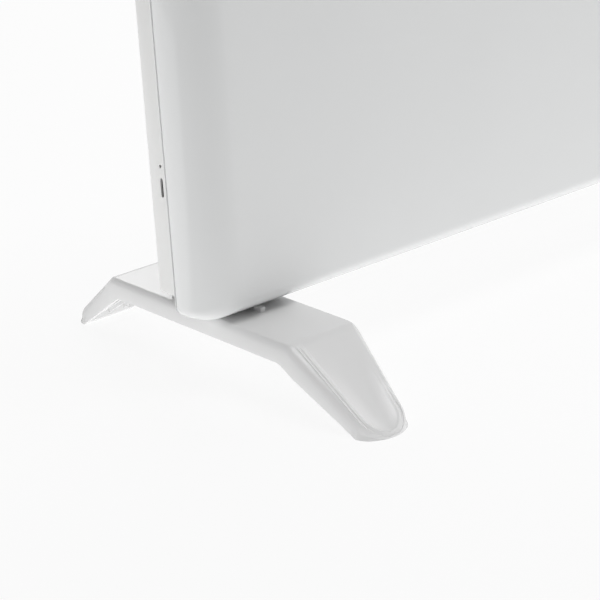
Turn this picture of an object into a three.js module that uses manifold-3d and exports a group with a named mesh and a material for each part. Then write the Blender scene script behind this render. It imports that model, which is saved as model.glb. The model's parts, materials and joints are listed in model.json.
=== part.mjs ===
// A panel convector heater on two moulded feet.
// Millimetres. +X runs along the width, +Y to the rear, +Z up. The floor is z = 0.
import * as THREE from "three";
import { mergeVertices } from "three/addons/utils/BufferGeometryUtils.js";
import Module from "manifold-3d";

// ---- Driving dimensions ----------------------------------------------------

const FIT = 0.3; // air left between pieces that seat on each other
const SHEET = 1.2; // steel of the cover and the housing
const PAST = 1; // how far a cutting tool runs past what it cuts

// Front cover: a drawn tray, widely rolled at its sides
const COVER_WIDTH = 640;
const COVER_HEIGHT = 400;
const COVER_DEPTH = 34.4;
const COVER_FRONT_Y = -41;
const ROLL_DEPTH = 32; // how far back the roll reaches
const ROLL_SIDE = 28; // how far it draws in the sides
const ROLL_EDGE = 8.2; // how far it draws in the top and bottom
const ROLL_STEPS = 7;
const COVER_CORNER = 8.3;
const COVER_CORNER_STEPS = 5;

// Rear housing: a folded pan that stands back from the cover's sides
const HOUSING_INSET = 18;
const HOUSING_STEP = 1.5; // its top and bottom lie this far inside the cover's
const HOUSING_REAR_Y = 34;
const HOUSING_LAP = 5.4; // how far it reaches into the cover
const HOUSING_FOLD = 2.2; // outer radius of the folds round its rear wall
const HOUSING_FOLD_STEPS = 3;
const HOUSING_CORNER = 3;
const HOUSING_CORNER_STEPS = 3;
const FLANGE_WIDTH = 12;
const SIDE_SLOT_WIDTH = 2.6;
const SIDE_SLOT_LENGTH = 12.5;
const SIDE_SLOT_HEIGHT = 71.5; // slot's middle over the housing's bottom
const SIDE_SLOT_FROM_REAR = 12.5;
const SIDE_HOLE_RADIUS = 1.2;
const SIDE_HOLE_RISE = 13.8; // hole's middle over the slot's
const HOOK_SLOT_WIDTH = 9;
const HOOK_SLOT_LENGTH = 26;
const HOOK_SLOT_FROM_SIDE = 72;
const HOOK_SLOT_FROM_EDGE = 70;

// Feet
const FOOT_WIDTH = 56;
const FOOT_LENGTH = 302;
const FOOT_HEIGHT = 48; // top of the plate that the body stands on
const PLATE_LENGTH = 180;
const PLATE_SKIRT = 12.8; // height of the plate's side walls
const SKIRT_LENGTH = 162;
const LEG_SLOPE = 0.772; // fall of a leg's face, mm per mm
const LEG_TAPER = 0.206; // narrowing of a leg's face, mm per mm, each side
const TOE_LENGTH = 14; // the round at the end of a leg
const TOE_FOOTPRINT = 38.5;
const TOE_THICKNESS = 1.6;
const TOE_SOLID = 4; // end of the hollow before the round begins
const FOOT_EDGE = 4;
const FOOT_EDGE_STEPS = 3;
const EDGE_OF_HEIGHT = 0.45; // most of a thin section's height that the edge may take
const EDGE_OF_WIDTH = 0.6; // and most of its half width
const CREASE_BLEND = 4;
const FOOT_WALL = 2.6;
const FOOT_RIB = 1.8;
const FOOT_RIB_ROOT = 0.6; // how far a rib runs into the walls
const FOOT_RIB_LIFT = 2; // how far it ends above the walls' lower edge
const LEG_RIBS = 3;
const HOLLOW_LEAST = 0.5;
const TONGUE_WIDTH = 37;
const TONGUE_TIP_WIDTH = 26.5;
const TONGUE_MARGIN = 2.2;
const TONGUE_DEPTH = 0.8;
const TONGUE_STEPS = 8;
const BODY_GAP = 2.5; // cover's bottom over the plate
const SEAT_LENGTH = 24;
const SEAT_WIDTH = 44;
const SEAT_BEHIND = 4; // seat's middle behind the housing's
const FRONT_PEG = 4;
const FRONT_PEG_DEPTH = 7;
const FRONT_PEG_Y = -31;

// Screws
const SCREW_RADIUS = 2;
const SCREW_HEAD_RADIUS = 3.8;
const SCREW_CROWN_RADIUS = 2.7;
const SCREW_HEAD = 2.2;
const SCREW_RECESS = 1.2;
const SCREW_RECESS_REACH = 1.7;
const SCREW_RECESS_WIDTH = 0.8;
const COVER_SCREW_LENGTH = 6;
const COVER_SCREWS_A_SIDE = 3;
const COVER_SCREW_MARGIN = 60;
const FOOT_SCREW_SPACING = 26;
const FOOT_SCREW_GRIP = 6; // reach above the housing's bottom sheet
const FOOT_BOSS_RADIUS = 5.5;
const FOOT_BOSS_WALL = 3; // under the screw's head
const FOOT_BOSS_LIFT = 3; // boss's lower end above the plate's side walls

// Grilles
const GRILLE_DEPTH = 28;
const GRILLE_FRAME = 3;
const GRILLE_HEIGHT = 9;
const GRILLE_LIP = 2.5;
const GRILLE_LIP_THICKNESS = 1.5;
const GRILLE_ROOT = 1; // how far vanes and ribs run into the frame
const VANE = 1.2; // thickness of a vane's upper edge
const VANE_ROOT = 2.4; // thickness of its lower edge
const VANE_LIFT = 1;
const VANE_SINK = 0.4;
const VANE_TILT = 28;
const VANES = 4;
const GRILLE_RIB = 1.6;
const GRILLE_RIB_PITCH = 34;
const GRILLE_RIB_LIFT = 0.5;
const GRILLE_RIB_SINK = 1.4;
const OUTLET_MARGIN = 24; // in from the housing's left side
const INTAKE_MARGIN = 31; // in from the feet
const INTAKE_SLOT = 3.2;
const INTAKE_SLOT_PITCH = 10.5;
const INTAKE_PLATE = 1.2;

// Element
const ELEMENT_LEFT_MARGIN = 51; // in from the housing's left side
const ELEMENT_RIGHT_MARGIN = 123; // in from its right side, clear of the controls
const ELEMENT_Y = 11;
const ELEMENT_RISE = 62; // its middle over the housing's bottom
const ELEMENT_DEPTH = 24;
const ELEMENT_WEB = 13;
const FIN_HEIGHT = 15;
const FIN = 1.3; // thickness of a fin's tip, half that of its root
const FIN_PITCH = 12;
const SHEATH_RADIUS = 4;
const SHEATH_OVERHANG = 22;
const BUSH_RADIUS = 6.5;
const BUSH_LENGTH = 9;
const BUSH_COLLAR = 1.8;
const BUSH_COLLAR_RISE = 2;
const BRACKET_WIDTH = 26;
const BRACKET_FOOT = 12;
const BRACKET_LIP = 5; // bracket in front of the bush
const PIN_WIDTH = 6.3;
const PIN_THICKNESS = 0.8;
const PIN_LENGTH = 11;
const PIN_HOLE_RADIUS = 0.9;
const PIN_HOLE_FROM_END = 3;
const SHIELD_GAP = 5; // heat shield off the rear wall
const SHIELD_HEIGHT = 132;
const SHIELD_BELOW = 41; // below the element's middle
const SHIELD_END_GAP = 8;
const SHIELD_SHEET = 0.8;
const CUTOUT_RADIUS = 8;
const CUTOUT_DEPTH = 7;
const CUTOUT_GAP = 8; // over the fins
const CUTOUT_EAR = 24;
const CUTOUT_EAR_HEIGHT = 8;
const CUTOUT_PLATE = 1;
const CUTOUT_HOLE_RADIUS = 1.3;
const CUTOUT_HOLE_FROM_END = 2.6;
const CUTOUT_TAB = 7;
const CUTOUT_TAB_SPACING = 8;

// Controls, at the right end of the top
const FASCIA_LENGTH = 92;
const FASCIA_DEPTH = 34;
const FASCIA = 2;
const FASCIA_CORNER = 3;
const FASCIA_MARGIN = 2; // in from the housing's right side
const CONTROL_GAP = 6; // between the outlet grille and the fascia
const TICKS = 7;
const TICK_START = 240; // degrees, at the knob's lowest setting
const TICK_STEP = 50;
const TICK_RADIUS = 0.5;
const TICK_DEPTH = 0.5;
const TICK_GAP = 1.6;
const BOX_WALL = 2;
const BOX_DEPTH = 52;
const LEAD_HOLE_RADIUS = 4;
const KNOB_RADIUS = 14;
const KNOB_HEIGHT = 13;
const KNOB_LIFT = 0.6; // over the fascia
const KNOB_CROWN = 1.6;
const KNOB_CHAMFER = 1.6;
const KNOB_EDGE = 1;
const KNOB_WALL = 2.6;
const KNOB_ROOF = 3.2;
const KNOB_HUB_WALL = 2.4;
const KNOB_FROM_END = 24;
const KNOB_FLUTES = 12;
const KNOB_FLUTE = 0.7;
const POINTER_WIDTH = 1.8;
const POINTER_FROM_MIDDLE = 7;
const POINTER_LENGTH = 4.8;
const POINTER_RISE = 0.6;
const SHAFT_RADIUS = 3;
const SHAFT_GRIP = 9; // in the thermostat's body
const SHAFT_REACH = 9.1; // over the fascia
const SHAFT_FLAT = 1.8; // flat's distance from the shaft's middle
const SHAFT_FLAT_LIFT = 2;
const THERMOSTAT_LENGTH = 26;
const THERMOSTAT_DEPTH = 22;
const THERMOSTAT_HEIGHT = 18;
const THERMOSTAT_CORNER = 3;
const THERMOSTAT_NECK = 5;
const SWITCH_LENGTH = 21;
const SWITCH_WIDTH = 15;
const SWITCH_BEZEL = 1.6;
const SWITCH_LIP = 1.4;
const SWITCH_BODY = 15;
const SWITCH_WALL = 1.5;
const SWITCH_FLOOR = 3;
const SWITCH_FROM_KNOB = 36;
const BLADE_PITCH = 5.6;
const BLADE_WIDTH = 4.8;
const BLADE_THICKNESS = 0.8;
const BLADE_LENGTH = 8;
const ROCKER_SINK = 1.2; // pivot under the fascia's face
const ROCKER_TILT = 11;
const ROCKER_PIN = 1.1;
const ROCKER_PIN_REACH = 0.9;
const ROCKER_CREST = 4.6; // rocker's ends over its pivot
const ROCKER_VALLEY = 1.7;
const ROCKER_WAIST = 0.5;
const ROCKER_BELLY = 6.3;
const ROCKER_BELLY_STEPS = 8;
const ROCKER_ROUND = 10.2;
const ROCKER_TAPER = 0.3;
const LAMP_RADIUS = 2.6;
const LAMP_STEM = 4;
const LAMP_FROM_SWITCH = 18;
const LAMP_DOME = [[0, 0], [3.6, 0], [3.6, 0.8], [2.9, 1.7], [1.6, 2.2], [0, 2.4]];
const BLOCK_POLES = 3;
const BLOCK_PITCH = 9;
const BLOCK_WIDTH = 16;
const BLOCK_HEIGHT = 13;
const BLOCK_FROM_GRIP = 57;
const BLOCK_WIRE_RADIUS = 2.2;
const BLOCK_WIRE_RISE = 5.2;
const BLOCK_WELL_RADIUS = 2.4;
const BLOCK_WELL_RISE = 6.5;

// Cable gland, low on the housing's right wall
const GLAND_THREAD = 7.5;
const GLAND_THREAD_END = 2; // past the nut
const GLAND_HEAD = 10.5;
const GLAND_MOUTH = 7.6;
const GLAND_HEAD_LENGTH = 8;
const GLAND_BORE = 3.8;
const GLAND_NUT = 4.5;
const GLAND_NUT_WALL = 4;
const GLAND_RISE = 32;

// ---- Places that follow from them -------------------------------------------

const coverBottom = FOOT_HEIGHT + BODY_GAP;
const coverTop = coverBottom + COVER_HEIGHT;
const coverRearY = COVER_FRONT_Y + COVER_DEPTH;
const housingBottom = coverBottom + HOUSING_STEP;
const housingTop = coverTop - HOUSING_STEP;
const housingSide = COVER_WIDTH / 2 - HOUSING_INSET;
const housingFrontY = coverRearY - HOUSING_LAP;
const housingMidY = (coverRearY + HOUSING_REAR_Y) / 2;
const rearWallY = HOUSING_REAR_Y - SHEET;
const flangeY = coverRearY + FIT;
const glandZ = housingBottom + GLAND_RISE;

const footX = housingSide - FOOT_WIDTH / 2;
const toeStart = FOOT_LENGTH / 2 - TOE_LENGTH;
const seatY = housingMidY + SEAT_BEHIND;
const seatTop = housingBottom - FIT;
const footScrewSeat = seatTop - FOOT_BOSS_WALL - SHEET;

const fasciaRight = housingSide - FASCIA_MARGIN;
const fasciaLeft = fasciaRight - FASCIA_LENGTH;
const fasciaMidX = (fasciaLeft + fasciaRight) / 2;
const fasciaUnder = housingTop + FIT;
const fasciaTop = fasciaUnder + FASCIA;
const boxTop = fasciaUnder - FIT;
const boxBottom = boxTop - BOX_DEPTH;
const controlY = housingMidY;
const knobX = fasciaRight - KNOB_FROM_END;
const switchX = knobX - SWITCH_FROM_KNOB;
const lampX = switchX - LAMP_FROM_SWITCH;
const rockerPivotZ = fasciaTop - ROCKER_SINK;

const outletLeft = -housingSide + OUTLET_MARGIN;
const outletRight = fasciaLeft - CONTROL_GAP;
const intakeHalf = footX - FOOT_WIDTH / 2 - INTAKE_MARGIN;

const elementLength = 2 * housingSide - ELEMENT_LEFT_MARGIN - ELEMENT_RIGHT_MARGIN;
const elementX = (ELEMENT_LEFT_MARGIN - ELEMENT_RIGHT_MARGIN) / 2;
const elementZ = housingBottom + ELEMENT_RISE;
const sheathHalf = elementLength / 2 + SHEATH_OVERHANG;
const bracketX = elementLength / 2 + SHEATH_OVERHANG / 2;

// ---- Solid tools ---------------------------------------------------------------

const wasm = await Module();
wasm.setup();

// A closed three.js geometry as a solid that can be cut and joined.
function solidOf(geometry) {
  const bare = geometry.index ? geometry.toNonIndexed() : geometry.clone();
  bare.deleteAttribute("normal");
  bare.deleteAttribute("uv");
  const merged = mergeVertices(bare, 1e-4);
  const triVerts = new Uint32Array(merged.index.array);
  const vertProperties = merged.attributes.position.array;
  return new wasm.Manifold(new wasm.Mesh({ numProp: 3, vertProperties, triVerts }));
}

// A solid as a three.js geometry with flat faces.
function geometryOf(solid) {
  const mesh = solid.getMesh();
  const geometry = new THREE.BufferGeometry();
  geometry.setAttribute("position", new THREE.BufferAttribute(mesh.vertProperties, 3));
  geometry.setIndex(new THREE.BufferAttribute(mesh.triVerts, 1));
  const flat = geometry.toNonIndexed();
  flat.computeVertexNormals();
  return flat;
}

function join(...solids) {
  return solids.reduce((whole, piece) => whole.add(piece));
}

function cut(solid, ...tools) {
  return tools.reduce((rest, tool) => rest.subtract(tool), solid);
}

// A block between two corners.
function block([x0, y0, z0], [x1, y1, z1]) {
  const box = new THREE.BoxGeometry(x1 - x0, y1 - y0, z1 - z0);
  box.translate((x0 + x1) / 2, (y0 + y1) / 2, (z0 + z1) / 2);
  return solidOf(box);
}

// A block of these lengths round a middle.
function blockRound([x, y, z], [lengthX, lengthY, lengthZ]) {
  const box = new THREE.BoxGeometry(lengthX, lengthY, lengthZ);
  return solidOf(box.translate(x, y, z));
}

// A round bar from a point along an axis. A second radius makes it a cone.
function bar(axis, [x, y, z], length, radius, sides = 20, endRadius = radius) {
  const rod = new THREE.CylinderGeometry(endRadius, radius, length, sides);
  rod.translate(0, length / 2, 0);
  if (axis === "x") rod.rotateZ(-Math.PI / 2);
  if (axis === "z") rod.rotateX(Math.PI / 2);
  rod.translate(x, y, z);
  return solidOf(rod);
}

const planes = {
  xy: new THREE.Matrix4(),
  xz: new THREE.Matrix4().set(1, 0, 0, 0, 0, 0, 1, 0, 0, 1, 0, 0, 0, 0, 0, 1),
  yz: new THREE.Matrix4().set(0, 0, 1, 0, 1, 0, 0, 0, 0, 1, 0, 0, 0, 0, 0, 1),
};

// An outline drawn in XY and carried along Z, in XZ and along Y, or in YZ and along X.
function prism(plane, outline, from, to) {
  const shape = new THREE.Shape(outline.map(([u, v]) => new THREE.Vector2(u, v)));
  const solid = new THREE.ExtrudeGeometry(shape, { depth: to - from, bevelEnabled: false });
  solid.translate(0, 0, from);
  return facingOut(solid.applyMatrix4(planes[plane]));
}

// The same geometry as a solid, with its faces turned round if they point in.
function facingOut(geometry) {
  const first = solidOf(geometry);
  if (first.volume() > 0) return first;
  const flat = geometry.index ? geometry.toNonIndexed() : geometry;
  const { array } = flat.attributes.position;
  const turned = new Float32Array(array.length);
  for (let i = 0; i < array.length; i += 9) {
    turned.set(array.subarray(i, i + 3), i);
    turned.set(array.subarray(i + 6, i + 9), i + 3);
    turned.set(array.subarray(i + 3, i + 6), i + 6);
  }
  const other = new THREE.BufferGeometry();
  other.setAttribute("position", new THREE.BufferAttribute(turned, 3));
  return solidOf(other);
}

// A skin through a row of convex rings of as many points each, closed at both ends.
function loft(rings) {
  const count = rings[0].length;
  const index = [];
  for (let r = 0; r + 1 < rings.length; r++) {
    for (let i = 0; i < count; i++) {
      const a = r * count + i;
      const b = r * count + ((i + 1) % count);
      index.push(a, b, b + count, a, b + count, a + count);
    }
  }
  const last = (rings.length - 1) * count;
  for (let i = 1; i + 1 < count; i++) {
    index.push(0, i + 1, i);
    index.push(last, last + i, last + i + 1);
  }
  const geometry = new THREE.BufferGeometry();
  geometry.setAttribute("position", new THREE.Float32BufferAttribute(rings.flat(2), 3));
  geometry.setIndex(index);
  return facingOut(geometry);
}

// A rectangle with rounded corners, as [u, v] points.
function roundedRectangle(halfU, halfV, radius, steps) {
  const points = [];
  for (let corner = 0; corner < 4; corner++) {
    const u = (corner === 0 || corner === 3 ? 1 : -1) * (halfU - radius);
    const v = (corner < 2 ? 1 : -1) * (halfV - radius);
    for (let i = 0; i <= steps; i++) {
      const angle = ((corner + i / steps) * Math.PI) / 2;
      points.push([u + radius * Math.cos(angle), v + radius * Math.sin(angle)]);
    }
  }
  return points;
}

// An upright slot with round ends, as [u, v] points.
function slotOutline(u, v, length, width, steps = 6) {
  const radius = width / 2;
  const reach = length / 2 - radius;
  const points = [];
  for (let i = 0; i <= 2 * steps + 1; i++) {
    const end = i <= steps ? 1 : -1;
    const angle = ((i <= steps ? i : i - 1) / steps) * Math.PI - Math.PI / 2;
    const along = end * reach + radius * Math.cos(angle);
    points.push([u - radius * Math.sin(angle), v + along]);
  }
  return points;
}

// The skin of a drawn or folded tray: rounded rectangles that draw in along an elliptic
// roll. The roll's angle runs from 0 at the side walls to 90 at the closed face.
function traySkin({ halfWidth, halfHeight, corner, cornerSteps, openY, faceY, roll, rollSteps }) {
  const middle = coverBottom + COVER_HEIGHT / 2;
  const forward = Math.sign(faceY - openY);
  const ringAt = (y, insetX, insetZ) =>
    roundedRectangle(halfWidth - insetX, halfHeight - insetZ, corner, cornerSteps)
      .map(([x, z]) => [x, y, middle + z]);
  const rings = [ringAt(openY, 0, 0)];
  for (let i = 0; i <= rollSteps; i++) {
    const angle = (i / rollSteps) * (Math.PI / 2);
    const drawn = 1 - Math.cos(angle);
    const y = faceY - forward * roll.depth * (1 - Math.sin(angle));
    rings.push(ringAt(y, roll.side * drawn, roll.edge * drawn));
  }
  return loft(rings);
}

// ---- Materials --------------------------------------------------------------

function finish(color, roughness, metalness = 0) {
  return new THREE.MeshStandardMaterial({ color, roughness, metalness });
}

const finishes = {
  cover: () => finish(0xe9eaea, 0.22),
  housing: () => finish(0xeeeeed, 0.4),
  foot: () => finish(0xe6e6e6, 0.35),
  grille: () => finish(0xe4e4e3, 0.45),
  screw: () => finish(0xb9bbbd, 0.35, 1),
  steel: () => finish(0xa9abad, 0.45, 1),
  aluminium: () => finish(0xc9cbcc, 0.4, 1),
  sheath: () => finish(0x8b8a86, 0.5, 1),
  ceramic: () => finish(0xece7dc, 0.6),
  brass: () => finish(0xc7a45a, 0.35, 1),
  moulding: () => finish(0xd9dad9, 0.5),
  black: () => finish(0x26282a, 0.45),
  lamp: () => finish(0xe0552f, 0.2),
};

const heater = new THREE.Group();

function add(name, solid, material) {
  const mesh = new THREE.Mesh(geometryOf(solid), finishes[material]());
  mesh.name = name;
  heater.add(mesh);
}

// ---- Front cover --------------------------------------------------------------

// The cover's skin, drawn in by a wall.
function coverSkin(wall, openY) {
  return traySkin({
    halfWidth: COVER_WIDTH / 2 - wall,
    halfHeight: COVER_HEIGHT / 2 - wall,
    corner: COVER_CORNER - wall,
    cornerSteps: COVER_CORNER_STEPS,
    openY,
    faceY: COVER_FRONT_Y + wall,
    roll: { depth: ROLL_DEPTH - wall, side: ROLL_SIDE - wall, edge: ROLL_EDGE - wall },
    rollSteps: ROLL_STEPS,
  });
}

// Height of the cover's underside at a depth: level at the rear, rolled up at the front.
function coverUnderside(y) {
  const share = Math.min(Math.max((COVER_FRONT_Y + ROLL_DEPTH - y) / ROLL_DEPTH, 0), 1);
  return coverBottom + ROLL_EDGE * (1 - Math.sqrt(1 - share * share));
}

function coverScrewPlaces() {
  const places = [];
  const span = COVER_HEIGHT - 2 * COVER_SCREW_MARGIN;
  for (const side of [-1, 1]) {
    for (let i = 0; i < COVER_SCREWS_A_SIDE; i++) {
      const x = side * (housingSide + FLANGE_WIDTH / 2);
      const z = coverBottom + COVER_SCREW_MARGIN + (span * i) / (COVER_SCREWS_A_SIDE - 1);
      places.push([x, z]);
    }
  }
  return places;
}

// Clearance holes for the cover's screws, through the cover and the flanges.
function coverScrewHoles() {
  return coverScrewPlaces().map(([x, z]) =>
    bar("y", [x, coverRearY - 2 * SHEET, z], 5 * SHEET, SCREW_RADIUS + FIT, 10),
  );
}

function frontCover() {
  const tray = cut(coverSkin(0, coverRearY), coverSkin(SHEET, coverRearY - SHEET));
  const mouth = block(
    [-housingSide - FIT, coverRearY - 2 * SHEET, housingBottom - FIT],
    [housingSide + FIT, coverRearY + SHEET, housingTop + FIT],
  );
  return cut(tray, mouth, ...coverScrewHoles());
}

// ---- Rear housing -------------------------------------------------------------

// The housing's skin, drawn in by a wall.
function housingSkin(wall, openY) {
  const fold = HOUSING_FOLD - wall;
  return traySkin({
    halfWidth: housingSide - wall,
    halfHeight: (housingTop - housingBottom) / 2 - wall,
    corner: HOUSING_CORNER - wall,
    cornerSteps: HOUSING_CORNER_STEPS,
    openY,
    faceY: HOUSING_REAR_Y - wall,
    roll: { depth: fold, side: fold, edge: fold },
    rollSteps: HOUSING_FOLD_STEPS,
  });
}

// A flange along each side of the pan, which the cover's screws hold.
function housingFlange(side) {
  const inner = side * (housingSide - SHEET / 2);
  const outer = side * (housingSide + FLANGE_WIDTH);
  return block(
    [Math.min(inner, outer), flangeY, housingBottom + COVER_CORNER],
    [Math.max(inner, outer), flangeY + SHEET, housingTop - COVER_CORNER],
  );
}

// The slots in the rear wall that a wall bracket's hooks enter.
function hookSlots() {
  const x = housingSide - HOOK_SLOT_FROM_SIDE;
  const heights = [housingBottom + HOOK_SLOT_FROM_EDGE, housingTop - HOOK_SLOT_FROM_EDGE];
  return [-x, x].flatMap((middle) =>
    heights.map((z) => {
      const outline = slotOutline(middle, z, HOOK_SLOT_LENGTH, HOOK_SLOT_WIDTH);
      return prism("xz", outline, rearWallY - SHEET, HOUSING_REAR_Y + SHEET);
    }),
  );
}

// The small slot in a side wall, and the hole above it.
function sideSlot(side) {
  const y = HOUSING_REAR_Y - SIDE_SLOT_FROM_REAR;
  const z = housingBottom + SIDE_SLOT_HEIGHT;
  const from = side * housingSide - 2 * SHEET;
  const outline = slotOutline(y, z, SIDE_SLOT_LENGTH, SIDE_SLOT_WIDTH);
  const slot = prism("yz", outline, from, from + 4 * SHEET);
  const hole = bar("x", [from, y, z + SIDE_HOLE_RISE], 4 * SHEET, SIDE_HOLE_RADIUS, 10);
  return join(slot, hole);
}

function footScrewPlaces() {
  const places = [];
  for (const side of [-1, 1]) {
    for (const step of [-1, 1]) {
      places.push([side * footX + (step * FOOT_SCREW_SPACING) / 2, seatY]);
    }
  }
  return places;
}

// The hole in the housing's top or bottom that a grille stands in.
function grilleMouth(x0, x1, z) {
  const half = GRILLE_DEPTH / 2;
  return block([x0, housingMidY - half, z - 2 * SHEET], [x1, housingMidY + half, z + 2 * SHEET]);
}

function rearHousing() {
  const pan = cut(
    housingSkin(0, housingFrontY),
    housingSkin(SHEET, housingFrontY - SHEET),
  );
  const footHoles = footScrewPlaces().map(([x, y]) =>
    bar("z", [x, y, housingBottom - SHEET], 3 * SHEET, SCREW_RADIUS + FIT, 10),
  );
  const halfMouth = FASCIA_DEPTH / 2 - FASCIA_CORNER;
  const boxMouth = block(
    [fasciaLeft + FASCIA_CORNER, controlY - halfMouth, housingTop - 2 * SHEET],
    [fasciaRight - FASCIA_CORNER, controlY + halfMouth, housingTop + SHEET],
  );
  const glandPlace = [housingSide - 2 * SHEET, housingMidY, glandZ];
  return cut(
    join(pan, housingFlange(-1), housingFlange(1)),
    ...coverScrewHoles(),
    ...hookSlots(),
    sideSlot(-1),
    sideSlot(1),
    ...footHoles,
    grilleMouth(outletLeft, outletRight, housingTop),
    grilleMouth(-intakeHalf, intakeHalf, housingBottom),
    boxMouth,
    bar("x", glandPlace, 4 * SHEET, GLAND_THREAD + FIT, 20),
  );
}

// ---- Grilles ------------------------------------------------------------------

// The outlet: a frame with a lip, long vanes that lean forward, and cross ribs.
function outletGrille() {
  const halfL = (outletRight - outletLeft) / 2 - FIT;
  const halfD = GRILLE_DEPTH / 2 - FIT;
  const inL = halfL - GRILLE_FRAME;
  const inD = halfD - GRILLE_FRAME;
  const under = housingTop + FIT;
  const top = under + GRILLE_LIP_THICKNESS;
  const low = top - GRILLE_HEIGHT;
  const lip = block(
    [-halfL - GRILLE_LIP, -halfD - GRILLE_LIP, under],
    [halfL + GRILLE_LIP, halfD + GRILLE_LIP, top],
  );
  const wall = block([-halfL, -halfD, low], [halfL, halfD, top]);
  const air = block([-inL, -inD, low - PAST], [inL, inD, top + PAST]);
  const bars = [];
  const lean = (Math.tan(THREE.MathUtils.degToRad(VANE_TILT)) * GRILLE_HEIGHT) / 2;
  for (let i = 0; i < VANES; i++) {
    const y = -inD + ((i + 1) * 2 * inD) / (VANES + 1);
    const outline = [
      [y + lean - VANE_ROOT / 2, low + VANE_LIFT],
      [y + lean + VANE_ROOT / 2, low + VANE_LIFT],
      [y - lean + VANE / 2, top - VANE_SINK],
      [y - lean - VANE / 2, top - VANE_SINK],
    ];
    bars.push(prism("yz", outline, -inL - GRILLE_ROOT, inL + GRILLE_ROOT));
  }
  const ribs = Math.floor((2 * inL) / GRILLE_RIB_PITCH);
  for (let i = 1; i < ribs; i++) {
    const x = -inL + (i * 2 * inL) / ribs;
    bars.push(
      block(
        [x - GRILLE_RIB / 2, -inD - GRILLE_ROOT, low + GRILLE_RIB_LIFT],
        [x + GRILLE_RIB / 2, inD + GRILLE_ROOT, top - GRILLE_RIB_SINK],
      ),
    );
  }
  const grille = join(cut(join(lip, wall), air), ...bars);
  return grille.translate([(outletLeft + outletRight) / 2, housingMidY, 0]);
}

// The intake: a pressed plate with a row of slots, standing on the bottom sheet.
function intakeGrille() {
  const z = housingBottom + SHEET + FIT;
  const halfL = intakeHalf + GRILLE_LIP;
  const halfD = GRILLE_DEPTH / 2 + GRILLE_LIP;
  const plate = block(
    [-halfL, housingMidY - halfD, z],
    [halfL, housingMidY + halfD, z + INTAKE_PLATE],
  );
  const length = GRILLE_DEPTH - 2 * GRILLE_FRAME;
  const count = Math.floor((2 * intakeHalf) / INTAKE_SLOT_PITCH) - 1;
  const slots = [];
  for (let i = 0; i < count; i++) {
    const x = (i - (count - 1) / 2) * INTAKE_SLOT_PITCH;
    const outline = slotOutline(x, housingMidY, length, INTAKE_SLOT, 2);
    slots.push(prism("xy", outline, z - PAST, z + INTAKE_PLATE + PAST));
  }
  return cut(plate, ...slots);
}

// ---- Feet ---------------------------------------------------------------------

// Straight before a corner and sloped after it, rounded over a blend on either side.
function bend(along, corner, slope, blend) {
  const past = along - corner;
  if (past <= -blend) return 0;
  if (past >= blend) return slope * past;
  return (slope * (past + blend) ** 2) / (4 * blend);
}

// Height of the plate's and the legs' top face, at a distance from the middle.
function footTop(along) {
  const fall = bend(along, PLATE_LENGTH / 2, LEG_SLOPE, CREASE_BLEND);
  return Math.max(FOOT_HEIGHT - fall, TOE_THICKNESS);
}

// Height of the lower edge of the side walls.
function footBottom(along) {
  const skirt = FOOT_HEIGHT - PLATE_SKIRT;
  const slope = skirt / (toeStart - SKIRT_LENGTH / 2);
  return Math.max(skirt - bend(along, SKIRT_LENGTH / 2, slope, CREASE_BLEND / 2), 0);
}

// Share of the width that is left in the round of the toe.
function toeRound(along) {
  const past = (along - toeStart) / TOE_LENGTH;
  return past <= 0 ? 1 : Math.sqrt(Math.max(1 - past * past, 0));
}

function footHalfTop(along) {
  return FOOT_WIDTH / 2 - Math.max(along - PLATE_LENGTH / 2, 0) * LEG_TAPER;
}

function footHalfBottom(along) {
  const run = toeStart - SKIRT_LENGTH / 2;
  const share = Math.min(Math.max((along - SKIRT_LENGTH / 2) / run, 0), 1);
  return FOOT_WIDTH / 2 - (share * (FOOT_WIDTH - TOE_FOOTPRINT)) / 2;
}

// A row of distances from the middle, with the same row on the other side before it.
function bothWays(distances) {
  const plus = [...distances].sort((a, b) => a - b);
  return [...plus.map((distance) => -distance).reverse(), ...plus];
}

// Distances from the middle at which the foot is drawn: close at its creases and toe.
function footStations() {
  const toe = [0, 0.4, 0.66, 0.84, 0.95, 0.994].map((share) => toeStart + share * TOE_LENGTH);
  const crease = [-1, -0.5, 0, 0.5, 1].map((step) => PLATE_LENGTH / 2 + step * CREASE_BLEND);
  const skirt = [-1, 0, 1].map((step) => (SKIRT_LENGTH + step * CREASE_BLEND) / 2);
  const leg = (PLATE_LENGTH / 2 + toeStart) / 2;
  return bothWays([...skirt, ...crease, leg, ...toe]);
}

// The foot's outer form: an inverted trough whose top edges are rounded.
function footOuter() {
  const rings = footStations().map((y) => {
    const along = Math.abs(y);
    const top = footTop(along);
    const low = footBottom(along);
    const halfTop = footHalfTop(along) * toeRound(along);
    const halfLow = Math.max(footHalfBottom(along) * toeRound(along), halfTop);
    const radius = Math.min(FOOT_EDGE, (top - low) * EDGE_OF_HEIGHT, halfTop * EDGE_OF_WIDTH);
    const half = [[halfLow, low]];
    for (let i = 0; i <= FOOT_EDGE_STEPS; i++) {
      const angle = ((i / FOOT_EDGE_STEPS) * Math.PI) / 2;
      const x = halfTop - radius * (1 - Math.cos(angle));
      half.push([x, top - radius * (1 - Math.sin(angle))]);
    }
    const ring = [...half, ...half.map(([x, z]) => [-x, z]).reverse()];
    return ring.map(([x, z]) => [x, y, z]);
  });
  return loft(rings);
}

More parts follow.
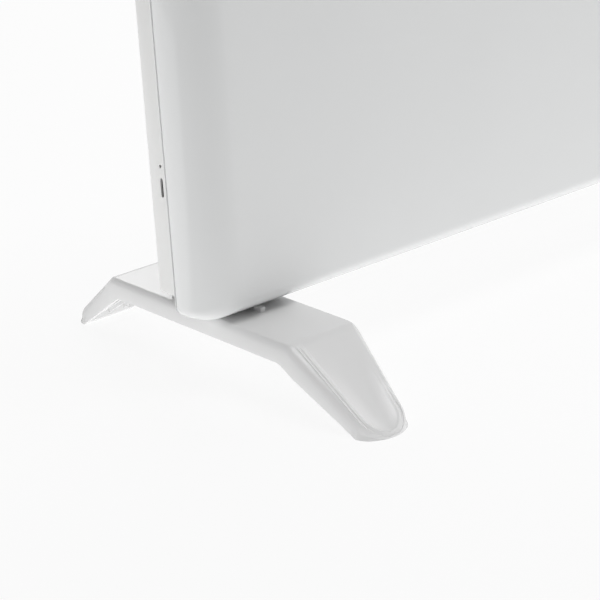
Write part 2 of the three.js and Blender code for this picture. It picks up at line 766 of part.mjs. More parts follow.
// The hollow under the foot, or with a raised floor the space that its ribs fill.
function footHollow(wall, floor) {
  const skirt = SKIRT_LENGTH / 2;
  const creases = [skirt - CREASE_BLEND, skirt + CREASE_BLEND, PLATE_LENGTH / 2 + CREASE_BLEND];
  const rings = bothWays([...creases, toeStart - TOE_SOLID]).map((y) => {
    const along = Math.abs(y);
    const low = footBottom(along) + floor;
    const top = Math.max(footTop(along) - wall, low + HOLLOW_LEAST);
    const halfTop = footHalfTop(along) - wall;
    const halfLow = footHalfBottom(along) - wall;
    return [[halfLow, y, low], [halfTop, y, top], [-halfTop, y, top], [-halfLow, y, low]];
  });
  return loft(rings);
}

// The shallow tongue pressed into the face of each leg.
function tongueCut(outer, end) {
  const start = PLATE_LENGTH / 2 + TONGUE_MARGIN;
  const tipRadius = TONGUE_TIP_WIDTH / 2;
  const tipMiddle = FOOT_LENGTH / 2 - TONGUE_MARGIN - tipRadius;
  const outline = [[TONGUE_WIDTH / 2, start]];
  for (let i = 0; i <= TONGUE_STEPS; i++) {
    const angle = (i / TONGUE_STEPS) * Math.PI;
    outline.push([tipRadius * Math.cos(angle), tipMiddle + tipRadius * Math.sin(angle)]);
  }
  outline.push([-TONGUE_WIDTH / 2, start]);
  const column = prism("xy", outline.map(([x, y]) => [x, end * y]), -FOOT_HEIGHT, 2 * FOOT_HEIGHT);
  return cut(column, outer.translate([0, 0, -TONGUE_DEPTH]));
}

// Ribs along the legs and across the plate, clipped to the hollow.
function footRibs() {
  const ribs = [];
  const half = FOOT_RIB / 2;
  for (let i = 0; i < LEG_RIBS; i++) {
    const x = ((i + 1) / (LEG_RIBS + 1) - 0.5) * (FOOT_WIDTH - 2 * FOOT_WALL);
    ribs.push(block([x - half, -toeStart, -PAST], [x + half, toeStart, FOOT_HEIGHT]));
  }
  for (const y of [-SKIRT_LENGTH / 2, -SKIRT_LENGTH / 4, SKIRT_LENGTH / 2]) {
    ribs.push(block([-FOOT_WIDTH, y - half, -PAST], [FOOT_WIDTH, y + half, FOOT_HEIGHT]));
  }
  return join(...ribs).intersect(footHollow(FOOT_WALL - FOOT_RIB_ROOT, FOOT_RIB_LIFT));
}

function foot(side) {
  const outer = footOuter();
  const trough = join(cut(outer, footHollow(FOOT_WALL, -PAST)), footRibs());
  const plateMiddle = FOOT_HEIGHT - FOOT_WALL / 2;
  const seat = block(
    [-SEAT_WIDTH / 2, seatY - SEAT_LENGTH / 2, plateMiddle],
    [SEAT_WIDTH / 2, seatY + SEAT_LENGTH / 2, seatTop],
  );
  const pegRear = FRONT_PEG_Y + FRONT_PEG_DEPTH / 2;
  const peg = block(
    [-FRONT_PEG / 2, FRONT_PEG_Y - FRONT_PEG_DEPTH / 2, plateMiddle],
    [FRONT_PEG / 2, pegRear, coverUnderside(pegRear) - FIT],
  );
  const bossLow = FOOT_HEIGHT - PLATE_SKIRT + FOOT_BOSS_LIFT;
  const places = [-FOOT_SCREW_SPACING / 2, FOOT_SCREW_SPACING / 2];
  const bosses = places.map((x) =>
    bar("z", [x, seatY, bossLow], plateMiddle - bossLow, FOOT_BOSS_RADIUS, 20),
  );
  const holes = places.map((x) => bar("z", [x, seatY, 0], 2 * FOOT_HEIGHT, SCREW_RADIUS + FIT, 12));
  const wells = places.map((x) =>
    bar("z", [x, seatY, 0], footScrewSeat, SCREW_HEAD_RADIUS + FIT, 16),
  );
  const pressed = cut(trough, tongueCut(outer, 1), tongueCut(outer, -1));
  const whole = cut(join(pressed, seat, peg, ...bosses), ...holes, ...wells);
  return whole.translate([side * footX, 0, 0]);
}

// ---- Screws -------------------------------------------------------------------

// A pan-head screw with a cross recess. It stands on z = 0 under its head.
function screw(length) {
  const shank = bar("z", [0, 0, -length], length + SCREW_HEAD / 4, SCREW_RADIUS, 8);
  const head = bar("z", [0, 0, 0], SCREW_HEAD, SCREW_HEAD_RADIUS, 12, SCREW_CROWN_RADIUS);
  const recessLength = [2 * SCREW_RECESS_REACH, SCREW_RECESS_WIDTH, 2 * SCREW_RECESS];
  const arm = blockRound([0, 0, SCREW_HEAD], recessLength);
  return cut(join(shank, head), arm, arm.rotate([0, 0, 90]));
}

// ---- Element --------------------------------------------------------------------

// Die-cast fins above and below a web that clamps the sheath: one comb, carried along Y.
function heatingElement() {
  const fins = Math.floor(elementLength / FIN_PITCH);
  const first = -((fins - 1) / 2) * FIN_PITCH;
  const root = ELEMENT_WEB / 2;
  const tip = root + FIN_HEIGHT;
  const upper = [];
  for (let i = 0; i < fins; i++) {
    const x = first + i * FIN_PITCH;
    upper.push([x - FIN, root], [x - FIN / 2, tip], [x + FIN / 2, tip], [x + FIN, root]);
  }
  const outline = [...upper.map(([x, z]) => [x, -z]), ...upper.reverse()];
  const comb = prism("xz", outline, -ELEMENT_DEPTH / 2, ELEMENT_DEPTH / 2);
  const bore = bar("x", [-elementLength, 0, 0], 2 * elementLength, SHEATH_RADIUS + FIT, 16);
  return cut(comb, bore).translate([elementX, ELEMENT_Y, elementZ]);
}

function elementSheath() {
  const rod = bar("x", [-sheathHalf, 0, 0], 2 * sheathHalf, SHEATH_RADIUS, 16);
  const socketSize = [PIN_LENGTH, PIN_WIDTH + 2 * FIT, PIN_THICKNESS + 2 * FIT];
  const sockets = [-1, 1].map((side) => blockRound([side * sheathHalf, 0, 0], socketSize));
  return cut(rod, ...sockets).translate([elementX, ELEMENT_Y, elementZ]);
}

function terminalPin(side) {
  const inner = sheathHalf - PIN_LENGTH / 2 + FIT;
  const blade = block(
    [inner, -PIN_WIDTH / 2, -PIN_THICKNESS / 2],
    [inner + PIN_LENGTH, PIN_WIDTH / 2, PIN_THICKNESS / 2],
  );
  const holeX = inner + PIN_LENGTH - PIN_HOLE_FROM_END;
  const hole = bar("z", [holeX, 0, -PIN_THICKNESS], 2 * PIN_THICKNESS, PIN_HOLE_RADIUS, 10);
  const pin = cut(blade, hole).rotate([0, 0, side > 0 ? 0 : 180]);
  return pin.translate([elementX, ELEMENT_Y, elementZ]);
}

// A ceramic bush round the sheath, with a collar on either face of its bracket.
function elementBush(side) {
  const x = side * bracketX;
  const sleeve = bar("x", [x - BUSH_LENGTH / 2, 0, 0], BUSH_LENGTH, BUSH_RADIUS, 16);
  const collarRadius = BUSH_RADIUS + BUSH_COLLAR_RISE;
  const collars = [-SHEET / 2 - FIT - BUSH_COLLAR, SHEET / 2 + FIT].map((offset) =>
    bar("x", [x + offset, 0, 0], BUSH_COLLAR, collarRadius, 16),
  );
  const bore = bar("x", [x - BUSH_LENGTH, 0, 0], 2 * BUSH_LENGTH, SHEATH_RADIUS + FIT, 12);
  return cut(join(sleeve, ...collars), bore).translate([elementX, ELEMENT_Y, elementZ]);
}

// A folded bracket, welded to the rear wall by its foot, which holds the bush.
function elementBracket(side) {
  const x = side * bracketX;
  const rear = rearWallY - FIT;
  const front = ELEMENT_Y - BUSH_RADIUS - BRACKET_LIP;
  const half = BRACKET_WIDTH / 2;
  const plate = block([x - SHEET / 2, front, -half], [x + SHEET / 2, rear, half]);
  const end = x + side * BRACKET_FOOT;
  const flange = block(
    [Math.min(x, end), rear - SHEET, -half],
    [Math.max(x, end), rear, half],
  );
  const hole = bar("x", [x - SHEET, ELEMENT_Y, 0], 2 * SHEET, BUSH_RADIUS + FIT, 20);
  return cut(join(plate, flange), hole).translate([elementX, 0, elementZ]);
}

// A thin sheet that keeps the wall behind cool, on folded edges that meet the rear wall.
function heatShield() {
  const half = bracketX - SHIELD_END_GAP;
  const y = rearWallY - SHIELD_GAP;
  const low = elementZ - SHIELD_BELOW;
  const high = low + SHIELD_HEIGHT;
  const sheet = block([-half, y - SHIELD_SHEET, low], [half, y, high]);
  const folds = [low, high - SHIELD_SHEET].map((z) =>
    block([-half, y - SHIELD_SHEET, z], [half, rearWallY - FIT, z + SHIELD_SHEET]),
  );
  return join(sheet, ...folds).translate([elementX, 0, 0]);
}

// A bimetal disc cut-out in a round case, on two ears against the heat shield.
function thermalCutout() {
  const y = rearWallY - SHIELD_GAP - SHIELD_SHEET - FIT;
  const z = elementZ + ELEMENT_WEB / 2 + FIN_HEIGHT + CUTOUT_GAP + CUTOUT_RADIUS;
  const ear = block(
    [-CUTOUT_EAR / 2, y - CUTOUT_PLATE, -CUTOUT_EAR_HEIGHT / 2],
    [CUTOUT_EAR / 2, y, CUTOUT_EAR_HEIGHT / 2],
  );
  const holeX = CUTOUT_EAR / 2 - CUTOUT_HOLE_FROM_END;
  const holes = [-holeX, holeX].map((x) =>
    bar("y", [x, y - 2 * CUTOUT_PLATE, 0], 3 * CUTOUT_PLATE, CUTOUT_HOLE_RADIUS, 10),
  );
  const cap = bar("y", [0, y - CUTOUT_DEPTH, 0], CUTOUT_DEPTH, CUTOUT_RADIUS, 24);
  const tabs = [-1, 1].map((s) =>
    blockRound(
      [(s * CUTOUT_TAB_SPACING) / 2, y - CUTOUT_DEPTH - CUTOUT_TAB / 2 + PAST / 2, 0],
      [PIN_THICKNESS, CUTOUT_TAB + PAST, PIN_WIDTH],
    ),
  );
  const whole = join(cut(ear, ...holes), cap, ...tabs);
  return whole.translate([elementX + elementLength / 4, 0, z]);
}

// ---- Controls -------------------------------------------------------------------

function switchBody() {
  return [SWITCH_LENGTH / 2 - SWITCH_LIP, SWITCH_WIDTH / 2 - SWITCH_LIP];
}

function switchHollow() {
  const [halfL, halfW] = switchBody();
  return [halfL - SWITCH_WALL, halfW - SWITCH_WALL];
}

// Shallow dots round the knob that mark its settings.
function fasciaTicks() {
  const ticks = [];
  const reach = KNOB_RADIUS + TICK_GAP;
  for (let i = 0; i < TICKS; i++) {
    const angle = THREE.MathUtils.degToRad(TICK_START - TICK_STEP * i);
    const x = knobX + reach * Math.cos(angle);
    const y = controlY + reach * Math.sin(angle);
    ticks.push(bar("z", [x, y, fasciaTop - TICK_DEPTH], TICK_DEPTH + PAST, TICK_RADIUS, 6));
  }
  return ticks;
}

function controlFascia() {
  const outline = roundedRectangle(FASCIA_LENGTH / 2, FASCIA_DEPTH / 2, FASCIA_CORNER, 4)
    .map(([x, y]) => [x + fasciaMidX, y + controlY]);
  const plate = prism("xy", outline, fasciaUnder, fasciaTop);
  const low = fasciaUnder - PAST;
  const through = FASCIA + 2 * PAST;
  const [halfL, halfW] = switchBody();
  return cut(
    plate,
    bar("z", [knobX, controlY, low], through, THERMOSTAT_NECK + FIT, 20),
    bar("z", [lampX, controlY, low], through, LAMP_RADIUS + FIT, 16),
    block(
      [switchX - halfL - FIT, controlY - halfW - FIT, low],
      [switchX + halfL + FIT, controlY + halfW + FIT, low + through],
    ),
    ...fasciaTicks(),
  );
}

// The moulded box that the fascia closes. It hangs in the housing's top.
function controlBox() {
  const halfL = FASCIA_LENGTH / 2 - FASCIA_CORNER - FIT;
  const halfD = FASCIA_DEPTH / 2 - FASCIA_CORNER - FIT;
  const outer = block([-halfL, -halfD, boxBottom], [halfL, halfD, boxTop]);
  const inner = block(
    [-halfL + BOX_WALL, -halfD + BOX_WALL, boxBottom + BOX_WALL],
    [halfL - BOX_WALL, halfD - BOX_WALL, boxTop + PAST],
  );
  const leadPlace = [-FASCIA_LENGTH / 4, 0, boxBottom - PAST];
  const leadHole = bar("z", leadPlace, BOX_WALL + 2 * PAST, LEAD_HOLE_RADIUS, 16);
  return cut(outer, inner, leadHole).translate([fasciaMidX, controlY, 0]);
}

// A rotary bimetal thermostat in a can, with the neck that its shaft turns in.
function thermostatBody() {
  const halfL = THERMOSTAT_LENGTH / 2;
  const outline = roundedRectangle(halfL, THERMOSTAT_DEPTH / 2, THERMOSTAT_CORNER, 3);
  const can = prism("xy", outline, boxTop - THERMOSTAT_HEIGHT, boxTop);
  const neck = bar("z", [0, 0, boxTop - PAST], fasciaTop - boxTop + PAST, THERMOSTAT_NECK, 20);
  const boreLow = boxTop - SHAFT_GRIP;
  const bore = bar("z", [0, 0, boreLow], fasciaTop - boreLow + PAST, SHAFT_RADIUS + FIT, 16);
  return cut(join(can, neck), bore).translate([knobX, controlY, 0]);
}

function thermostatShaft() {
  const low = boxTop - SHAFT_GRIP + FIT;
  const top = fasciaTop + SHAFT_REACH;
  const rod = bar("z", [0, 0, low], top - low, SHAFT_RADIUS, 16);
  const flat = block(
    [-SHAFT_RADIUS, SHAFT_FLAT, fasciaTop + SHAFT_FLAT_LIFT],
    [SHAFT_RADIUS, 2 * SHAFT_RADIUS, top + PAST],
  );
  return cut(rod, flat).translate([knobX, controlY, 0]);
}

// A fluted knob with a pointer ridge, hollow underneath round its hub.
function thermostatKnob() {
  const low = fasciaTop + KNOB_LIFT;
  const top = low + KNOB_HEIGHT;
  const gripTop = top - KNOB_CROWN;
  const outline = [];
  const count = KNOB_FLUTES * 4;
  for (let i = 0; i < count; i++) {
    const angle = (i / count) * 2 * Math.PI;
    const radius = KNOB_RADIUS - (i % 4 < 2 ? 0 : KNOB_FLUTE);
    outline.push([radius * Math.cos(angle), radius * Math.sin(angle)]);
  }
  const grip = prism("xy", outline, low, gripTop + FIT);
  const crownRadius = KNOB_RADIUS - KNOB_EDGE - KNOB_CHAMFER;
  const crown = bar("z", [0, 0, gripTop], KNOB_CROWN, KNOB_RADIUS - KNOB_EDGE, 36, crownRadius);
  const hollowHeight = KNOB_HEIGHT - KNOB_ROOF + PAST;
  const hollow = bar("z", [0, 0, low - PAST], hollowHeight, KNOB_RADIUS - KNOB_WALL, 24);
  const hub = bar("z", [0, 0, low], gripTop - low, SHAFT_RADIUS + KNOB_HUB_WALL, 20);
  const pointer = block(
    [-POINTER_WIDTH / 2, POINTER_FROM_MIDDLE, gripTop],
    [POINTER_WIDTH / 2, POINTER_FROM_MIDDLE + POINTER_LENGTH, top + POINTER_RISE],
  );
  const socketTop = fasciaTop + SHAFT_REACH + FIT;
  const socket = bar("z", [0, 0, low - PAST], socketTop - low + PAST, SHAFT_RADIUS + FIT, 16);
  const knob = cut(join(cut(join(grip, crown), hollow), hub, pointer), socket);
  return knob.rotate([0, 0, TICK_START - 90]).translate([knobX, controlY, 0]);
}

function rockerFrame() {
  const [halfL, halfW] = switchBody();
  const [inL, inW] = switchHollow();
  const bezelLow = fasciaTop + FIT;
  const bezelTop = bezelLow + SWITCH_BEZEL;
  const low = fasciaUnder - SWITCH_BODY;
  const bezel = block(
    [-SWITCH_LENGTH / 2, -SWITCH_WIDTH / 2, bezelLow],
    [SWITCH_LENGTH / 2, SWITCH_WIDTH / 2, bezelTop],
  );
  const body = block([-halfL, -halfW, low], [halfL, halfW, bezelTop - FIT]);
  const well = block([-inL, -inW, low + SWITCH_FLOOR], [inL, inW, bezelTop + PAST]);
  const pinReach = inW + ROCKER_PIN_REACH + FIT;
  const pins = bar("y", [0, -pinReach, rockerPivotZ], 2 * pinReach, ROCKER_PIN + FIT, 12);
  const blades = [-1, 0, 1].map((i) =>
    blockRound(
      [i * BLADE_PITCH, 0, low - BLADE_LENGTH / 2 + PAST / 2],
      [BLADE_WIDTH, BLADE_THICKNESS, BLADE_LENGTH + PAST],
    ),
  );
  return join(cut(join(bezel, body), well, pins), ...blades).translate([switchX, controlY, 0]);
}

// The rocker: a round belly on its pins and two faces that meet in a shallow V.
function powerRocker() {
  const [inL, inW] = switchHollow();
  const waist = inL - FIT - ROCKER_TAPER;
  const crest = waist - ROCKER_TAPER;
  const outline = [
    [-waist, ROCKER_WAIST],
    [-crest, ROCKER_CREST],
    [0, ROCKER_CREST - ROCKER_VALLEY],
    [crest, ROCKER_CREST],
    [waist, ROCKER_WAIST],
  ];
  for (let i = 1; i < ROCKER_BELLY_STEPS; i++) {
    const angle = -(i / ROCKER_BELLY_STEPS) * Math.PI;
    outline.push([waist * Math.cos(angle), ROCKER_BELLY * Math.sin(angle)]);
  }
  const half = inW - FIT;
  const body = prism("xz", outline, -half, half);
  const round = bar("y", [0, -half - PAST, 0], 2 * (half + PAST), ROCKER_ROUND, 32);
  const reach = half + ROCKER_PIN_REACH;
  const pins = bar("y", [0, -reach, 0], 2 * reach, ROCKER_PIN, 12);
  const rocker = join(body.intersect(round), pins).rotate([0, ROCKER_TILT, 0]);
  return rocker.translate([switchX, controlY, rockerPivotZ]);
}

function pilotLens() {
  const under = fasciaTop + FIT;
  const stemLow = fasciaUnder - LAMP_STEM;
  const stem = bar("z", [0, 0, stemLow], under - stemLow + FIT, LAMP_RADIUS, 16);
  const dome = new THREE.LatheGeometry(LAMP_DOME.map(([r, h]) => new THREE.Vector2(r, h)), 20);
  dome.rotateX(Math.PI / 2);
  dome.translate(0, 0, under);
  return join(stem, facingOut(dome)).translate([lampX, controlY, 0]);
}

// A row of clamping wells with screws seen from above.
function terminalBlock() {
  const half = (BLOCK_POLES * BLOCK_PITCH) / 2;
  const low = boxBottom + BOX_WALL + FIT;
  const body = block(
    [-half, -BLOCK_WIDTH / 2, low],
    [half, BLOCK_WIDTH / 2, low + BLOCK_HEIGHT],
  );
  const cuts = [];
  for (let i = 0; i < BLOCK_POLES; i++) {
    const x = (i - (BLOCK_POLES - 1) / 2) * BLOCK_PITCH;
    const wire = [x, -BLOCK_WIDTH, low + BLOCK_WIRE_RISE];
    cuts.push(bar("y", wire, 2 * BLOCK_WIDTH, BLOCK_WIRE_RADIUS, 8));
    for (const y of [-BLOCK_WIDTH / 4, BLOCK_WIDTH / 4]) {
      cuts.push(bar("z", [x, y, low + BLOCK_WELL_RISE], BLOCK_HEIGHT, BLOCK_WELL_RADIUS, 8));
    }
  }
  return cut(body, ...cuts).translate([fasciaLeft + BLOCK_FROM_GRIP, controlY, 0]);
}

// ---- Cable gland ------------------------------------------------------------------

function cordGland() {
  const inner = housingSide - SHEET - GLAND_NUT - GLAND_THREAD_END;
  const headStart = housingSide + FIT;
  const thread = bar("x", [inner, 0, 0], headStart - inner + PAST, GLAND_THREAD, 20);
  const head = bar("x", [headStart, 0, 0], GLAND_HEAD_LENGTH, GLAND_HEAD, 24, GLAND_MOUTH);
  const length = headStart + GLAND_HEAD_LENGTH - inner;
  const bore = bar("x", [inner - PAST, 0, 0], length + 2 * PAST, GLAND_BORE, 16);
  return cut(join(thread, head), bore).translate([0, housingMidY, glandZ]);
}

function glandNut() {
  const x = housingSide - SHEET - FIT - GLAND_NUT;
  const hex = bar("x", [x, 0, 0], GLAND_NUT, GLAND_THREAD + GLAND_NUT_WALL, 6);
  const bore = bar("x", [x - PAST, 0, 0], GLAND_NUT + 2 * PAST, GLAND_THREAD + FIT, 20);
  return cut(hex, bore).translate([0, housingMidY, glandZ]);
}

// ---- Assembly -------------------------------------------------------------------

add("front_cover", frontCover(), "cover");
add("rear_housing", rearHousing(), "housing");
add("outlet_grille", outletGrille(), "grille");
add("intake_grille", intakeGrille(), "grille");
add("foot_left", foot(-1), "foot");
add("foot_right", foot(1), "foot");
add("heating_element", heatingElement(), "aluminium");
add("element_sheath", elementSheath(), "sheath");
for (const [side, word] of [[-1, "left"], [1, "right"]]) {
  add(`terminal_pin_${word}`, terminalPin(side), "brass");
  add(`element_bush_${word}`, elementBush(side), "ceramic");
  add(`element_bracket_${word}`, elementBracket(side), "steel");
}
add("heat_shield", heatShield(), "aluminium");
add("thermal_cutout", thermalCutout(), "black");
add("control_box", controlBox(), "moulding");
add("control_fascia", controlFascia(), "moulding");
add("thermostat_body", thermostatBody(), "steel");
add("thermostat_shaft", thermostatShaft(), "steel");
add("thermostat_knob", thermostatKnob(), "moulding");
add("rocker_frame", rockerFrame(), "black");
add("power_rocker", powerRocker(), "black");
add("pilot_lens", pilotLens(), "lamp");
add("terminal_block", terminalBlock(), "ceramic");
add("cord_gland", cordGland(), "moulding");
add("gland_nut", glandNut(), "moulding");

coverScrewPlaces().forEach(([x, z], i) => {
  const under = flangeY + SHEET + FIT;
  const turned = screw(COVER_SCREW_LENGTH).rotate([-90, 0, 0]);
  add(`cover_screw_${i + 1}`, turned.translate([x, under, z]), "screw");
});
footScrewPlaces().forEach(([x, y], i) => {
  const under = footScrewSeat - FIT;
  const length = housingBottom + SHEET + FOOT_SCREW_GRIP - under;
  const turned = screw(length).rotate([180, 0, 0]);
  add(`foot_screw_${i + 1}`, turned.translate([x, y, under]), "screw");
});

export default heater;
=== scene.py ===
# %% [markdown]
# # A panel convector heater on two moulded feet
# The CAD model holds every piece at its real size. This script dresses it. The pieces
# whose curves catch the light are made again as fine surfaces, seven more get softer
# edges, and the rest keep their CAD form. Each gets a finish worked out from its real
# material.

# %% Load the frame
import json
import math

import bmesh
import bpy
import numpy as np
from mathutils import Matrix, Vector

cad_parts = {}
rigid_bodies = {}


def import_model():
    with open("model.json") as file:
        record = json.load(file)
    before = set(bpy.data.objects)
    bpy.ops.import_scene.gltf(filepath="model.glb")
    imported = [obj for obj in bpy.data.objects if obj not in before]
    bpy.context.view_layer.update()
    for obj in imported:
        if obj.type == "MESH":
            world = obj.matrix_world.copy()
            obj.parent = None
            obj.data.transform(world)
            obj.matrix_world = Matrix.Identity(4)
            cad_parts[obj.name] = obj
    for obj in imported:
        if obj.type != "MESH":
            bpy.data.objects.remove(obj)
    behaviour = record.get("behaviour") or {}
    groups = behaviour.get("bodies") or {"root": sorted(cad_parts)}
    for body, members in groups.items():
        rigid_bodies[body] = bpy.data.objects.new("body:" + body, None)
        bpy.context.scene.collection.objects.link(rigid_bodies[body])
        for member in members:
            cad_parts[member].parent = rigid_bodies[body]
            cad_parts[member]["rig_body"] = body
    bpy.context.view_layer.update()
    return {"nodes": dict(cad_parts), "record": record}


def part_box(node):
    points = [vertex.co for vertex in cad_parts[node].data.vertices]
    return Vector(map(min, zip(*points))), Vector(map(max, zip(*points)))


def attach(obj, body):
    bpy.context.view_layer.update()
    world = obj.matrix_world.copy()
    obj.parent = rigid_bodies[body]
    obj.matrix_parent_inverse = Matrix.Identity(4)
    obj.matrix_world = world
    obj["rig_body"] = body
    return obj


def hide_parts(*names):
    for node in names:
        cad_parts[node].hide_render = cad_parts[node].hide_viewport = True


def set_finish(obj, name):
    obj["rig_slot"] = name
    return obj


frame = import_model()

MM = 0.001

# %% [markdown]
# ## The camera
# The picture is a close view of the heater's lower left corner from the front left,
# looking 21 degrees down. The camera stands where the straight edges of the foot meet
# the picture at their places. Its small roll comes from the same edges.

# %% Place the camera
CAMERA_PLACE = (-1.059584, -1.037526, 0.543027)
CAMERA_AZIMUTH, CAMERA_ELEVATION, CAMERA_ROLL = 39.1, 20.99, -3.64
CAMERA_LENS = 133.62


def camera_turn(azimuth, elevation, roll):
    """The camera's right, up and back directions. Azimuth 0 looks along +Y."""
    a, e, r = (math.radians(v) for v in (azimuth, elevation, roll))
    forward = np.array([math.sin(a) * math.cos(e), math.cos(a) * math.cos(e), -math.sin(e)])
    level = np.array([math.cos(a), -math.sin(a), 0.0])
    above = np.cross(level, forward)
    right = level * math.cos(r) + above * math.sin(r)
    up = above * math.cos(r) - level * math.sin(r)
    return np.stack([right, up, -forward], axis=1)


camera_data = bpy.data.cameras.new("camera")
camera_data.lens = CAMERA_LENS
camera_data.sensor_width = 36.0
camera_data.clip_end = 50.0
camera = bpy.data.objects.new("camera", camera_data)
bpy.context.scene.collection.objects.link(camera)
placing = np.eye(4)
placing[:3, :3] = camera_turn(CAMERA_AZIMUTH, CAMERA_ELEVATION, CAMERA_ROLL)
placing[:3, 3] = CAMERA_PLACE
camera.matrix_world = placing.T.tolist()
bpy.context.scene.camera = camera
bpy.context.scene.view_settings.view_transform = "Standard"
print("camera:", CAMERA_PLACE, "lens", CAMERA_LENS, "mm")

# %% [markdown]
# ## Surfaces from arrays
# A surface here is a stack of rings: each ring is a closed row of points, worked out by
# a formula as a whole array. One helper turns the stack into faces, and one puts the
# faces of a piece into a mesh, with its normals outwards and its sharp edges marked.


# %% Ring helper
def skin(rings, capped=True):
    """Points and faces of a skin through rings, an array (rings, points, 3). Neighbours
    are joined by quads, and a flat face closes either end if it is capped."""
    rows, columns = rings.shape[:2]
    i, j = np.meshgrid(np.arange(rows - 1), np.arange(columns), indexing="ij")
    k = (j + 1) % columns
    quads = [i * columns + j, (i + 1) * columns + j, (i + 1) * columns + k, i * columns + k]
    faces = np.stack(quads, axis=-1).reshape(-1, 4).tolist()
    if capped:
        last = (rows - 1) * columns
        faces.append(list(range(columns)))
        faces.append(list(range(last + columns - 1, last - 1, -1)))
    return rings.reshape(-1, 3), faces


# %% Mesh helpers
MERGE = 0.02  # mm: points closer than this become one


def shade(work, angle):
    """Shades every face smooth, and every edge whose faces meet under the angle."""
    limit = math.radians(angle)
    for face in work.faces:
        face.smooth = True
    for edge in work.edges:
        edge.smooth = len(edge.link_faces) == 2 and edge.calc_face_angle(0.0) < limit


def finish_mesh(mesh, smooth_angle):
    """Merges close points, turns every shell's faces outwards, shades them, and
    returns how many edges are open."""
    work = bmesh.new()
    work.from_mesh(mesh)
    bmesh.ops.remove_doubles(work, verts=work.verts, dist=MERGE * MM)
    bmesh.ops.dissolve_degenerate(work, edges=work.edges, dist=MERGE * MM / 4)
    bmesh.ops.recalc_face_normals(work, faces=work.faces)
    shade(work, smooth_angle)
    open_edges = sum(len(edge.link_faces) != 2 for edge in work.edges)
    work.to_mesh(mesh)
    work.free()
    return open_edges


def piece(name, shells, body, slot, smooth_angle):
    """One mesh object from several (points, faces) shells in millimetres, at the
    origin. It rides on its body and takes its finish from the record's slot."""
    starts = np.cumsum([0] + [len(points) for points, _ in shells])
    points = np.concatenate([points for points, _ in shells]) * MM
    faces = []
    for (_, some), start in zip(shells, starts):
        faces += [[v + start for v in face] for face in some]
    mesh = bpy.data.meshes.new(name)
    mesh.from_pydata(points.tolist(), [], faces)
    open_edges = finish_mesh(mesh, smooth_angle)
    made = bpy.data.objects.new(name, mesh)
    bpy.context.scene.collection.objects.link(made)
    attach(made, body)
    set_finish(made, slot)
    size = ((points.max(0) - points.min(0)) / MM).round(1).tolist()
    print(name, "size", size, "mm,", len(mesh.polygons), "faces,", open_edges, "open")
    return made


# %% Form helpers
def smoothstep(value, low, high):
    """Rises smoothly from 0 at low to 1 at high."""
    t = np.clip((value - low) / (high - low), 0, 1)
    return t * t * (3 - 2 * t)


def box_skin(low, high):
    """The six faces between two corners."""
    (x0, y0, z0), (x1, y1, z1) = low, high
    corners = [(x0, y0), (x1, y0), (x1, y1), (x0, y1)]
    return skin(np.array([[(x, y, z) for x, y in corners] for z in (z0, z1)], float))


def turned_skin(profile, middle, steps):
    """A profile of (radius, height) carried round an upright axis at the middle. Its
    ends may lie on the axis, where the points of a ring merge into one."""
    profile = np.asarray(profile, float)
    angle = np.linspace(0, 2 * math.pi, steps, endpoint=False)
    r, z = profile[:, :1], profile[:, 1:]
    x, y = middle[0] + r * np.cos(angle), middle[1] + r * np.sin(angle)
    return skin(np.stack([x, y, np.broadcast_to(z, x.shape)], axis=-1), capped=False)


# %% [markdown]
# ## The front cover
# The cover is one sheet of steel, deep drawn. Its sides roll over into the front along
# a wide quarter ellipse, and its top and bottom along a smaller one. A bevelled box
# would roll all four edges alike, so each ring here is a rounded rectangle that draws
# in by its own share on each axis.

# %% Front cover
SHEET = 1.2
COVER_HALF_WIDTH, COVER_HALF_HEIGHT, COVER_MIDDLE_Z = 320.0, 200.0, 250.5
COVER_FRONT, COVER_REAR = -41.0, -6.6
ROLL_DEPTH, ROLL_SIDE = 32.0, 28.0
EDGE_DEPTH, EDGE_INSET = 20.0, 12.5  # the same roll at the top and bottom
COVER_CORNER, COVER_FOLD = 8.3, 0.7  # radii of the front's corners and of the rear fold
JOINT_START, JOINT_END, JOINT_DEEP = -7.4, -8.9, 0.65  # a groove just before the rear edge
MOUTH_SIDE, MOUTH_CORNER = 17.7, 2.0  # the return behind the sides, and its corners
ROLL_STEPS, FOLD_STEPS = 49, 7


def rounded_ring(half_x, half_z, radius, y, middle_z, steps=14):
    """A rounded rectangle across Y: four quarter circles, joined by their straights."""
    quarter = np.linspace(0, math.pi / 2, steps)
    parts = []
    for corner, (sx, sz) in enumerate(((1, 1), (-1, 1), (-1, -1), (1, -1))):
        angle = quarter + corner * math.pi / 2
        x = sx * (half_x - radius) + radius * np.cos(angle)
        z = middle_z + sz * (half_z - radius) + radius * np.sin(angle)
        parts.append(np.stack([x, np.full_like(x, y), z], axis=-1))
    return np.concatenate(parts)


